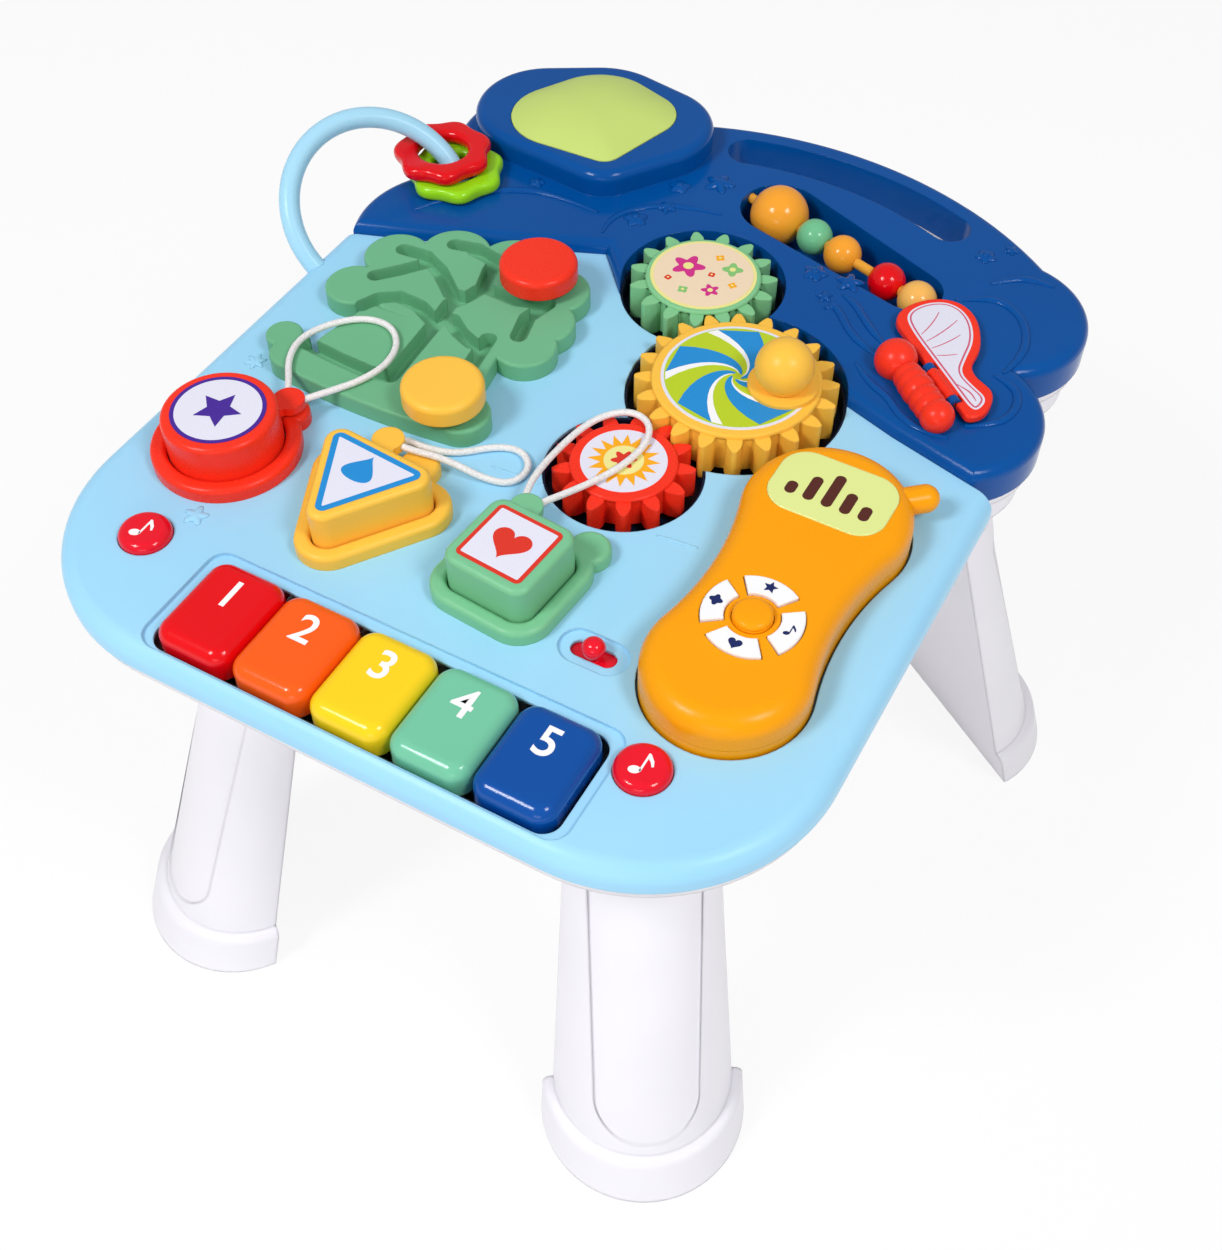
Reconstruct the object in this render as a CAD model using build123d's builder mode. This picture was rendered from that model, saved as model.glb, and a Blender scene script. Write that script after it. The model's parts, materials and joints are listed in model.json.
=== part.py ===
from build123d import *
import os
from math import acos, asin, atan2, cos, degrees, hypot, pi, radians, sin, sqrt, tan

os.makedirs("parts", exist_ok=True)

# Table top: heights are measured from the floor, levels from the front panel's top face
surface_height = 260.0
top_width = 344.0
front_reach = 214.4
corner_radius = 80.0
skirt_depth = 12.0
shell_wall = 3.0
front_edge_radius = 8.0
rear_rise = 6.0
rear_edge_radius = 5.5
seam_gap = 0.2
tray_inset = 2.0
tray_front_inset = 12.0
tray_rear_inset = 5.0
tray_depth = 20.0
tray_rim = 6.0
tray_wall = 2.5
fit_gap = 0.3
run_gap = 0.05
recess_depth = 1.5
half_width = top_width / 2

# Seam between the front and rear panels, from the left edge to the right edge
seam_points = [(37.0 - half_width, 53.0), (-50.0, 88.0), (-27.0, 62.0), (90.0, 48.0), (half_width - 52.0, 38.0)]
seam_ends = (40.0, 24.0)

# Cloud outline of the rear half: lobes as x, y, radius, and the arc of the carrying rim
cloud_lobes = [(51.0 - half_width, 63.0, 50.0), (40.0 - half_width, 106.0, 34.0),
               (68.0 - half_width, 153.0, 63.0), (half_width - 41.0, 133.0, 43.0),
               (half_width - 36.0, 62.0, 42.0)]
rim_center = (18.5, 21.0)
rim_radius = 196.5
rim_angles = (116.0, 50.0)
rim_width = 11.5
grip_slot_width = 21.0
grip_slot_angles = (66.0, 104.0)
core_points = [(half_width - 22.0, 130.0), (half_width - 22.0, 20.0), (27.0 - half_width, 20.0),
               (27.0 - half_width, 62.0), (67.0 - half_width, 155.0)]

# Light pad on the raised lobe: circles as x, y, radius, with tangent sides between them
pad_circles = [(-112.0, 155.0, 27.0), (-79.0, 138.0, 9.0), (-80.0, 174.0, 20.0), (-100.0, 170.0, 30.0)]
pad_lobe_circles = [(-125.0, 160.0, 37.0), (-79.0, 138.0, 20.0), (-73.0, 172.0, 34.0), (-100.0, 170.0, 41.0)]
pad_lobe_rise = 13.0
pad_lobe_edge = 5.0
pad_crown = 7.0
pad_crown_edge = 6.5
pad_flange = 2.0

# Gears: module, tooth counts and places
gear_module = 4.16
pressure_angle = 25.0
tooth_addendum = 0.85
tooth_dedendum = 1.1
tooth_backlash = 0.8
tooth_tip_round = 1.2
red_teeth = 13
yellow_teeth = 20
green_teeth = 15
yellow_center = (49.0, 28.7)
red_direction = 252.7
green_direction = 128.6
yellow_phase = 7.0
gear_bottom = -9.0
gear_thickness = 14.0
axle_radius = 4.0
axle_top = 3.0
gear_boss_radius = 9.0
pit_margin = 4.2
pit_floor = -13.0
pit_liner = 1.2
pit_liner_top = -1.5
gear_disc_edge = 1.2
red_disc = (24.0, 1.5)
yellow_disc = (39.0, 6.0)
green_disc = (28.5, 5.0)
crank_offset = 20.5
crank_angle = 12.0
crank_flange = (15.5, 2.0)
crank_ball_radius = 13.0
crank_ball_lift = 11.0

# Keyboard
key_count = 5
key_pitch = 36.0
key_gap = 1.0
key_length = 45.0
key_front_margin = 8.4
key_back = key_length + key_front_margin - front_reach
key_top = 6.5
key_bottom = -8.0
key_corner = 8.0
key_crown = 6.0
keyboard_x = 2.0
key_slot_margin = 1.6
key_recess_margin = 6.0
pivot_back = 10.0
pivot_level = -9.0
pivot_rod_radius = 1.6
pivot_barrel_radius = 4.0
pivot_barrel_width = 16.0
plunger_radius = 3.0
plunger_from_back = 24.0
plunger_length = 7.0
arm_thickness = 5.0

# Buttons and power switch on the front panel
button_spots = {"music_button_left": (47.0 - half_width, 50.4 - front_reach),
                "music_button_right": (half_width - 64.0, 47.9 - front_reach)}
button_radius = 11.2
button_top = 4.0
button_edge = 3.8
button_flange = (12.7, 2.0)
switch_spot = (65.4, -127.5)
switch_slot = (20.0, 8.0)
switch_recess = (30.0, 17.0)
switch_knob_radius = 4.8
switch_stem_radius = 2.6
switch_plate = (20.0, 14.0, 2.0)
switch_knob_level = 2.0

# Lift-out blocks and their sockets
block_turn = -5.0
block_top = 23.0
block_edge = 2.5
socket_height = 7.0
socket_rim = 7.0
socket_gap = 0.5
round_center = (-126.3, -107.8)
round_radius = 24.7
round_tab = (-113.5, -79.0)
triangle_center = (-53.7, -109.4)
triangle_reach = 22.0
triangle_corner = 7.0
triangle_tab = (-62.0, -78.5)
square_center = (19.7, -112.7)
square_side = 40.0
square_corner = 7.0
square_tab = (9.0, -83.5)
tab_radius = 7.0
tab_level = 8.0
tab_thickness = 4.0
tab_neck = 9.0
socket_ears = {"round": (-113.5, -80.0), "triangle": (-46.0, -80.0), "square": (40.0, -86.0)}
socket_ear_radius = 9.0
socket_edge = 2.5

# Cords of the blocks: points as x, y and level above the front panel, both ends held in the block's tab
cord_diameter = 3.0
cord_bend = 0.45
round_cord = [(-115.2, -78.2, 10.0), (-121.0, -69.0, 10.4), (-130.0, -57.5, 10.8), (-134.0, -43.5, 10.8),
              (-128.0, -29.0, 10.8), (-117.0, -18.0, 10.8), (-103.5, -16.0, 10.8), (-93.0, -25.0, 10.8),
              (-89.5, -39.0, 10.8), (-93.5, -53.5, 10.8), (-102.0, -66.0, 10.6), (-108.5, -74.5, 10.2),
              (-111.8, -79.8, 10.0)]
triangle_cord = [(-63.8, -79.0, 10.0), (-60.0, -72.0, 7.8), (-50.0, -69.0, 3.8), (-38.0, -64.0, 1.8),
                 (-25.5, -51.5, 1.8), (-13.9, -48.4, 1.8), (-5.4, -56.9, 1.8), (-8.5, -68.5, 1.8),
                 (-20.1, -71.6, 3.0), (-30.0, -73.5, 6.8), (-38.0, -75.2, 9.2), (-46.0, -77.2, 10.0),
                 (-53.5, -78.3, 10.2), (-60.2, -78.0, 10.0)]
square_cord = [(7.2, -84.2, 10.0), (3.0, -73.0, 9.5), (1.5, -60.0, 9.0), (2.0, -46.0, 8.6),
               (4.0, -31.0, 8.6), (8.5, -19.0, 8.6), (17.5, -10.5, 8.6), (28.5, -13.0, 8.8),
               (33.5, -25.0, 8.8), (31.0, -41.0, 8.8), (24.5, -56.0, 8.8), (17.5, -69.0, 9.4),
               (12.8, -77.0, 10.0), (10.8, -82.8, 10.0)]

# Tree maze plate
maze_height = 9.0
maze_edge = 1.5
groove_width = 8.0
groove_floor = 1.5
crown_lobes = [(-136.0, 2.0, 14.0), (-131.0, 30.0, 16.0), (-108.0, 45.0, 17.0), (-80.0, 52.0, 17.0),
               (-52.0, 44.0, 16.0), (-46.0, 22.0, 15.0), (-45.0, 4.0, 15.0)]
crown_core = [(-136.0, -4.0), (-130.0, 30.0), (-106.0, 46.0), (-60.0, 50.0), (-40.0, 20.0), (-44.0, -6.0),
              (-90.0, -8.0)]
trunk_points = [(-128.0, -36.0), (-122.0, -6.0), (-52.0, -4.0), (-48.0, -30.0), (-44.0, -42.0), (-128.0, -46.0)]
base_lobes = [(-144.0, -42.0, 8.5), (-133.0, -50.0, 11.0), (-46.0, -47.0, 13.0)]
base_front = [(-133.0, -61.0), (-92.0, -63.0), (-46.0, -60.0)]
base_back_y = -40.0
maze_grooves = [[(-131.0, -43.0), (-113.0, -44.6), (-96.0, -45.4), (-85.0, -43.0)],
                [(-85.0, -43.0), (-87.6, -4.2), (-89.3, 11.0), (-85.0, 19.0)],
                [(-124.0, -9.5), (-120.2, -1.2), (-112.6, 4.2), (-100.8, 3.3), (-88.2, -3.2)],
                [(-131.0, 11.7), (-123.4, 20.2), (-116.3, 29.4)],
                [(-130.2, 34.4), (-119.4, 35.5), (-106.8, 29.4), (-92.6, 17.6), (-85.0, 19.0)],
                [(-111.0, 49.5), (-100.8, 52.0), (-87.2, 49.0)],
                [(-85.0, 19.0), (-82.2, 29.0), (-86.0, 41.0), (-87.2, 49.0)],
                [(-82.2, 29.0), (-63.4, 28.3), (-50.0, 32.7), (-53.2, 20.4), (-50.0, 7.5)],
                [(-82.8, 2.5), (-74.4, -3.5), (-66.0, -6.7)]]
maze_knob_radius = 18.2
maze_knob_bottom = 13.2
maze_knob_height = 9.5
maze_knob_edge = 3.0
maze_stem_radius = 2.8
red_knob_spot = (-61.0, 44.0)
red_knob_end = (-100.0, 50.0)
yellow_knob_spot = (-54.3, -47.2)
yellow_knob_end = (-61.0, -1.0)

# Ring tube: an arch leaning out over the left edge, given by its two feet, and its rings
arch_front_foot = (3.0 - half_width, 15.0, -4.0)
arch_rear_foot = (34.0 - half_width, 96.0, 6.0)
arch_lean = 46.0
arch_center_height = 9.0
arch_root_deg = 9.0
tube_radius = 5.0
ring_hole = 12.4
ring_thickness = 7.0
ring_edge = 2.5
ring_waves = 8
ring_wave_radius = 7.0
ring_wave_place = 18.0
ring_valley = 2.5
ring_level = 0.6

# Beads on their rod, as distance along the rod and radius
rod_start = (11.0, 154.5)
rod_angle = -18.4
rod_level = 2.0
rod_radius = 2.5
rod_seat = 2.0
beads = {"bead_large": (0.0, 14.5), "bead_green": (23.6, 8.8), "bead_orange": (41.9, 9.2),
         "bead_red": (70.0, 9.0), "bead_pale": (88.7, 9.3)}
bead_pit_radii = (20.0, 15.0)
bead_pit_places = (0.5, 84.5)
bead_pit_floor = -13.2
bead_pit_base = 1.5

# Dragonfly: rounded body segments along its own axis, and one wing on a pin beside it
fly_head = (105.5, 73.0)
fly_angle = -40.5
fly_level = 11.0
fly_segments = [(0.0, 9.6), (12.0, 6.8), (16.5, 7.3), (21.0, 7.5), (27.5, 7.3), (32.0, 7.2), (38.5, 7.6)]
wing_pin_offset = 11.6
wing_pin_level = 9.6
wing_pin_radius = 1.4
wing_barrel_radius = 3.0
wing_barrel_span = (12.0, 30.0)
wing_ear_width = 3.5
wing_ear_gap = 0.4
wing_thickness = 3.2
wing_corner = 3.0
wing_edge = 1.2
wing_outline = [(-20.0, 11.6), (-28.5, 16.0), (-32.5, 27.0), (-31.0, 38.0), (-25.5, 45.0), (-15.5, 47.5),
                (-2.0, 43.5), (8.0, 37.0), (16.0, 29.5), (23.5, 28.5), (32.0, 30.0), (40.0, 25.5),
                (44.5, 18.5), (43.5, 11.6)]

# Toy telephone in its cradle: head and belly as place along Y and radius
phone_x = half_width - 55.0
phone_head = (-27.5, 35.5)
phone_belly = (-117.0, 33.5)
phone_waist_radius = 130.0
phone_split = 4.0
phone_bottom = -6.0
phone_top = 19.0
phone_edge = 9.0
phone_back_edge = 2.0
antenna_angle = 41.0
antenna_reach = 42.0
antenna_radius = 6.0
antenna_level = 11.0
cradle_gap = 1.0
screen_y = -23.0
screen_size = (51.0, 35.0)
screen_corner = 12.0
screen_edge = 0.5
screen_depth = 1.6
screen_proud = 0.6
dial_y = -97.0
dial_button_radius = 8.0
dial_ring = (11.0, 20.0)
dial_gap_deg = 20.0
dial_pocket = 5.0
dial_proud = 1.4
dial_floor_gap = 2.0
dial_button_edge = 1.2
dial_sector_edge = 0.6

# Legs: flat-backed tubes that spread outwards, given at the floor and at the tray
leg_turn = {"front": 32.0, "rear": 146.0}
leg_foot = {"front": (half_width - 51.0, 32.4 - front_reach), "rear": (half_width - 3.5, 107.5)}
leg_spread = 60.0
leg_half_top = 30.0
leg_bulge_top = 29.0
leg_half_foot = 44.0
leg_bulge_foot = 42.0
leg_wall = 3.0
foot_flange = 5.0
foot_height = 24.0
foot_edge = 4.0
leg_window = (48.0, 172.0)
leg_window_corner = 20.0
leg_window_level = 30.0
leg_window_depth = 1.2
collar_height = 14.0
collar_wall = 3.0

# Electrics inside the tray
board_size = (170.0, 28.0, 1.6)
board_level = -21.6
mat_size = (176.0, 20.0, 1.4)
board_post_grid = (150.0, 20.0)
board_y = key_back - 22.0
chip_size = (14.0, 10.0, 3.0)
post_radius = 3.5
cell_radius = 7.0
cell_length = 50.0
cell_count = 3
cell_pitch = 15.0
battery_center = (-88.0, -22.0)
door_opening_margin = 2.0
door_lap = 5.0
door_thickness = 2.0
speaker_center = (-62.0, 112.0)
speaker_radius = 25.0
speaker_cone = 4.0
speaker_height = 13.0
speaker_magnet = 11.0
grille_circle = 14.0
grille_holes = 12
grille_hole_radius = 2.0
screw_spots_front = [(-140.0, -52.0), (-5.0, -140.0), (66.0, -100.0), (140.0, -140.0)]
screw_spots_rear = [(-20.0, 150.0), (148.0, 120.0), (-128.0, 118.0)]
screw_shank_radius = 1.4
screw_head = (3.2, 2.0)
screw_boss_radius = 4.5
screw_tip = -12.0

# The plan is centred between the front feet and the carrying rim
foot_half = leg_half_foot + foot_flange
foot_bulge = leg_bulge_foot + foot_flange
foot_arc = (foot_half ** 2 + foot_bulge ** 2) / (2 * foot_bulge)
foot_axis_y = leg_foot["front"][1] - (foot_bulge - foot_arc) * cos(radians(leg_turn["front"]))
back_reach = rim_center[1] + rim_radius
plan_shift = -(foot_axis_y - foot_arc + back_reach) / 2
tray_top = -skirt_depth
tray_bottom = tray_top - tray_depth
tray_floor = tray_bottom + tray_wall
leg_top = tray_bottom - collar_height


def spot(x, y):
    return (x, y + plan_shift)


def level(height):
    return Plane.XY.offset(surface_height + height)


def save(builder, name):
    builder.part.label = name
    export_step(builder.part, f"parts/{name}.step")


def polar(center, angle, radius):
    return (center[0] + radius * cos(radians(angle)), center[1] + radius * sin(radians(angle)))


def heading(start, end):
    return degrees(atan2(end[1] - start[1], end[0] - start[0]))


def discs(places, radius, bottom, top, mode=Mode.ADD):
    with BuildSketch(level(bottom)) as ends:
        with Locations(*[spot(x, y) for x, y in places]):
            Circle(radius)
    extrude(ends.sketch, amount=top - bottom, mode=mode)


def filled(points, mode=Mode.ADD):
    with BuildLine() as outline:
        Polyline(*[spot(x, y) for x, y in points], close=True)
    make_face(outline.edges(), mode=mode)


def tapered_slot(first, big, second, small, mode):
    # Two circles and the tangent lines between them
    turn = heading(first, second)
    lean = degrees(asin((big - small) / hypot(second[0] - first[0], second[1] - first[1])))
    with Locations(spot(*first)):
        Circle(big, mode=mode)
    with Locations(spot(*second)):
        Circle(small, mode=mode)
    filled([polar(first, turn + 90 - lean, big), polar(second, turn + 90 - lean, small),
            polar(second, turn - 90 + lean, small), polar(first, turn - 90 + lean, big)], mode)


def front_outline(inset, seam_back, mode=Mode.ADD):
    half = half_width - inset
    front = plan_shift - front_reach + inset
    radius = corner_radius - inset
    seam = [(-half, seam_ends[0]), *seam_points, (half, seam_ends[1])]
    with BuildLine() as outline:
        Line((half - radius, front), (radius - half, front))
        CenterArc((radius - half, front + radius), radius, 180, 90)
        Polyline((-half, front + radius), *[spot(x, y + seam_back) for x, y in seam], (half, front + radius))
        CenterArc((half - radius, front + radius), radius, 270, 90)
    make_face(outline.edges(), mode=mode)


def cloud_outline(inset):
    for x, y, radius in cloud_lobes:
        with Locations(spot(x, y)):
            Circle(radius - inset)
    turns = (rim_angles[0], (rim_angles[0] + rim_angles[1]) / 2, rim_angles[1])
    arc = [spot(*polar(rim_center, turn, rim_radius - inset)) for turn in turns]
    with BuildLine() as outline:
        ThreePointArc(*arc)
        Polyline(arc[2], *[spot(x, y) for x, y in core_points], arc[0])
    make_face(outline.edges())


def pitch_radius(teeth):
    return gear_module * teeth / 2


def tip_radius(teeth):
    return pitch_radius(teeth) + tooth_addendum * gear_module


red_center = polar(yellow_center, red_direction, pitch_radius(red_teeth) + pitch_radius(yellow_teeth))
green_center = polar(yellow_center, green_direction, pitch_radius(green_teeth) + pitch_radius(yellow_teeth))
gear_places = [(red_center, red_teeth), (yellow_center, yellow_teeth), (green_center, green_teeth)]


def gear_pits(grow, mode=Mode.ADD):
    for center, teeth in gear_places:
        with Locations(spot(*center)):
            Circle(tip_radius(teeth) + pit_margin + grow, mode=mode)


def along_rod(distance):
    return polar(rod_start, rod_angle, distance)


def rod_plane(distance):
    x, y = spot(*along_rod(distance))
    axis = (cos(radians(rod_angle)), sin(radians(rod_angle)), 0)
    return Plane(origin=(x, y, surface_height + rod_level), z_dir=axis)


def bead_pit(grow, mode=Mode.ADD):
    first, second = along_rod(bead_pit_places[0]), along_rod(bead_pit_places[1])
    tapered_slot(first, bead_pit_radii[0] + grow, second, bead_pit_radii[1] + grow, mode)


def grip_slot(grow, mode=Mode.ADD):
    middle = rim_radius - rim_width - grip_slot_width / 2
    size = grip_slot_angles[1] - grip_slot_angles[0]
    arc = CenterArc(spot(*rim_center), middle, grip_slot_angles[0], size, mode=Mode.PRIVATE)
    SlotArc(arc, grip_slot_width + 2 * grow, mode=mode)


def rounded_hull(circles, grow, mode=Mode.ADD):
    for first, second in zip(circles, circles[1:] + circles[:1]):
        tapered_slot(first[:2], first[2] + grow, second[:2], second[2] + grow, mode)
    filled([(x, y) for x, y, radius in circles], mode)


def phone_outline(grow):
    # Head and belly arcs joined by two hollow arcs at the waist
    head_y, head_radius = phone_head
    belly_y, belly_radius = phone_belly
    length = head_y - belly_y
    head_reach, belly_reach = head_radius + phone_waist_radius, belly_radius + phone_waist_radius
    drop = (head_reach ** 2 - belly_reach ** 2 + length ** 2) / (2 * length)
    side = sqrt(head_reach ** 2 - drop ** 2)
    waist_y = head_y - drop
    head_turn = degrees(atan2(-drop, side))
    belly_turn = degrees(atan2(length - drop, side))
    head_right = polar((phone_x, head_y), head_turn, head_radius + grow)
    head_left = polar((phone_x, head_y), 180 - head_turn, head_radius + grow)
    belly_right = polar((phone_x, belly_y), belly_turn, belly_radius + grow)
    belly_left = polar((phone_x, belly_y), 180 - belly_turn, belly_radius + grow)
    waist = side - phone_waist_radius + grow
    arcs = [(head_right, (phone_x, head_y + head_radius + grow), head_left),
            (head_left, (phone_x - waist, waist_y), belly_left),
            (belly_left, (phone_x, belly_y - belly_radius - grow), belly_right),
            (belly_right, (phone_x + waist, waist_y), head_right)]
    with BuildLine() as outline:
        for arc in arcs:
            ThreePointArc(*[spot(x, y) for x, y in arc])
    make_face(outline.edges())


def key_x(index):
    return keyboard_x + (index - (key_count - 1) / 2) * key_pitch


key_row = key_count * key_pitch
key_middle = key_back - key_length / 2
pivot_y = key_back + pivot_back
rod_half = key_row / 2 + 2 * shell_wall
pivot_plane = Plane.YZ.offset(keyboard_x)
pivot_point = (pivot_y + plan_shift, surface_height + pivot_level)
lobe_top = rear_rise + pad_lobe_rise


def fly_point(along, side):
    return spot(*polar(polar(fly_head, fly_angle, along), fly_angle + 90, side))


def wing_plane(along):
    x, y = fly_point(along, wing_pin_offset)
    axis = (cos(radians(fly_angle)), sin(radians(fly_angle)), 0)
    return Plane(origin=(x, y, surface_height + wing_pin_level), x_dir=(-axis[1], axis[0], 0), z_dir=axis)


wing_ear_starts = (wing_barrel_span[0] - wing_ear_gap - wing_ear_width, wing_barrel_span[1] + wing_ear_gap)
wing_pin_length = wing_ear_starts[1] + wing_ear_width - wing_ear_starts[0]


def block_shape(kind, grow, mode=Mode.ADD):
    if kind == "round":
        with Locations(spot(*round_center)):
            Circle(round_radius + grow, mode=mode)
    elif kind == "square":
        side = square_side + 2 * grow
        with Locations(spot(*square_center)):
            RectangleRounded(side, side, square_corner + grow, rotation=block_turn, mode=mode)
    else:
        sides = []
        for index in range(3):
            turn = block_turn - 90 + 120 * index
            corner = polar(triangle_center, turn, triangle_reach)
            with Locations(spot(*corner)):
                Circle(triangle_corner + grow, mode=mode)
            sides += [polar(corner, turn + side, triangle_corner + grow) for side in (-60, 60)]
        filled(sides, mode)


def groove(points):
    for start, end in zip(points, points[1:]):
        middle = spot((start[0] + end[0]) / 2, (start[1] + end[1]) / 2)
        with Locations(Location((*middle, 0), (0, 0, heading(start, end)))):
            SlotCenterToCenter(hypot(end[0] - start[0], end[1] - start[1]), groove_width)


def gear_outline(center, teeth, phase):
    # Involute flanks from the root circle to the tip circle
    pitch = pitch_radius(teeth)
    tip = tip_radius(teeth)
    root = pitch - tooth_dedendum * gear_module
    base = pitch * cos(radians(pressure_angle))
    involute = tan(radians(pressure_angle)) - radians(pressure_angle)
    half = (pi * gear_module / 2 - tooth_backlash) / 2 / pitch + involute
    flank = []
    for step in range(4):
        radius = base + (tip - base) * step / 3
        pressure = acos(base / radius)
        flank.append((radius, degrees(half - tan(pressure) + pressure)))
    points = []
    for tooth in range(teeth):
        turn = phase + 360 / teeth * tooth
        points.append(polar(center, turn - flank[0][1], min(root, base)))
        points += [polar(center, turn - angle, radius) for radius, angle in flank]
        points += [polar(center, turn + angle, radius) for radius, angle in reversed(flank)]
        points.append(polar(center, turn + flank[0][1], min(root, base)))
    filled(points)


def mesh_phase(teeth, direction):
    # Turns a gear so that its gap faces the yellow gear's tooth on the line between the centres
    yellow_share = (direction - yellow_phase) / (360 / yellow_teeth)
    return direction + 180 - (0.5 - yellow_share) * 360 / teeth


def dial_sector(turn, grow):
    # One quarter of the dial ring, with parallel gaps between neighbours
    inner, outer = dial_ring[0] - grow, dial_ring[1] + grow
    half = 45 - dial_gap_deg / 2 + degrees(grow / dial_ring[0])
    center = (phone_x, dial_y)
    with BuildLine() as outline:
        ThreePointArc(*[spot(*polar(center, turn + angle, outer)) for angle in (-half, 0, half)])
        ThreePointArc(*[spot(*polar(center, turn + angle, inner)) for angle in (-half, 0, half)])
        for side in (-half, half):
            Line(spot(*polar(center, turn + side, inner)), spot(*polar(center, turn + side, outer)))
    make_face(outline.edges())


def leg_share(height):
    return height / (surface_height + leg_top)


def leg_section(leg, height, grow, back):
    # D section at a height: flat towards the middle of the table, round outwards
    share = leg_share(height)
    turn = radians(leg_turn[leg])
    outward = (sin(turn), -cos(turn))
    foot = leg_foot[leg]
    x, y = spot(foot[0] - leg_spread * share * outward[0], foot[1] - leg_spread * share * outward[1])
    half = leg_half_foot + (leg_half_top - leg_half_foot) * share + grow
    bulge = leg_bulge_foot + (leg_bulge_top - leg_bulge_foot) * share + grow
    section_plane = Plane(origin=(x, y, height), x_dir=(-cos(turn), -sin(turn), 0), z_dir=(0, 0, 1))
    with BuildSketch(section_plane) as section:
        with BuildLine() as outline:
            ThreePointArc((half, back), (0, bulge), (-half, back))
            Line((-half, back), (half, back))
        make_face(outline.edges())
    return section.sketch


def cord_radii(points):
    radii = []
    for before, corner, after in zip(points, points[1:], points[2:]):
        first, second = Vector(*corner) - Vector(*before), Vector(*after) - Vector(*corner)
        radii.append(cord_bend * min(first.length, second.length) / tan(radians(first.get_angle(second)) / 2))
    return radii


# Ring tube, made first because both panels take its ends
front_foot = Vector(*arch_front_foot)
rear_foot = Vector(*arch_rear_foot)
arch_along = (rear_foot - front_foot).normalized()
arch_out = Vector(-arch_along.Y, arch_along.X, 0).normalized()
arch_tilt = Vector(0, 0, cos(radians(arch_lean))) + arch_out * sin(radians(arch_lean))
arch_normal = arch_along.cross(arch_tilt).normalized()
arch_up = arch_normal.cross(arch_along)
arch_center = (front_foot + rear_foot) * 0.5 + arch_up * arch_center_height
arch_radius = hypot((rear_foot - front_foot).length / 2, arch_center_height)
arch_start = -degrees(asin(arch_center_height / arch_radius)) - arch_root_deg
arch_origin = arch_center + Vector(0, plan_shift, surface_height)
arch_plane = Plane(origin=arch_origin, x_dir=arch_along, z_dir=arch_normal)
with BuildPart() as ring_tube:
    with BuildLine(arch_plane) as arch_line:
        CenterArc((0, 0), arch_radius, arch_start, 180 - 2 * arch_start)
    with BuildSketch(Plane(origin=arch_line.line @ 0, z_dir=arch_line.line % 0)):
        Circle(tube_radius)
    sweep()
save(ring_tube, "ring_tube")
print("arch origin", arch_origin, "axis", arch_normal, "radius", arch_radius)

# Rings lie one on the other round the rear end of the tube
for index, name in enumerate(("ring_green", "ring_red")):
    ring_bottom = rear_rise + ring_level + index * (ring_thickness + fit_gap)
    rise = ring_bottom + ring_thickness / 2 - arch_center.Z
    reach = arch_radius * hypot(arch_along.Z, arch_up.Z)
    turn = atan2(arch_up.Z, arch_along.Z) - acos(rise / reach)
    ring_middle = arch_center + arch_along * (arch_radius * cos(turn)) + arch_up * (arch_radius * sin(turn))
    ring_spot = spot(ring_middle.X, ring_middle.Y)
    with BuildPart() as ring:
        with BuildSketch(level(ring_bottom)) as ring_plan:
            with Locations(ring_spot):
                Circle(ring_wave_place - ring_valley)
                with PolarLocations(ring_wave_place, ring_waves):
                    Circle(ring_wave_radius)
            fillet(ring_plan.vertices().sort_by_distance(ring_spot)[:ring_waves], radius=ring_valley)
            with Locations(ring_spot):
                Circle(ring_hole, mode=Mode.SUBTRACT)
        extrude(amount=ring_thickness)
        fillet(ring.edges().filter_by(GeomType.LINE, reverse=True), radius=ring_edge)
    save(ring, name)

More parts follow.
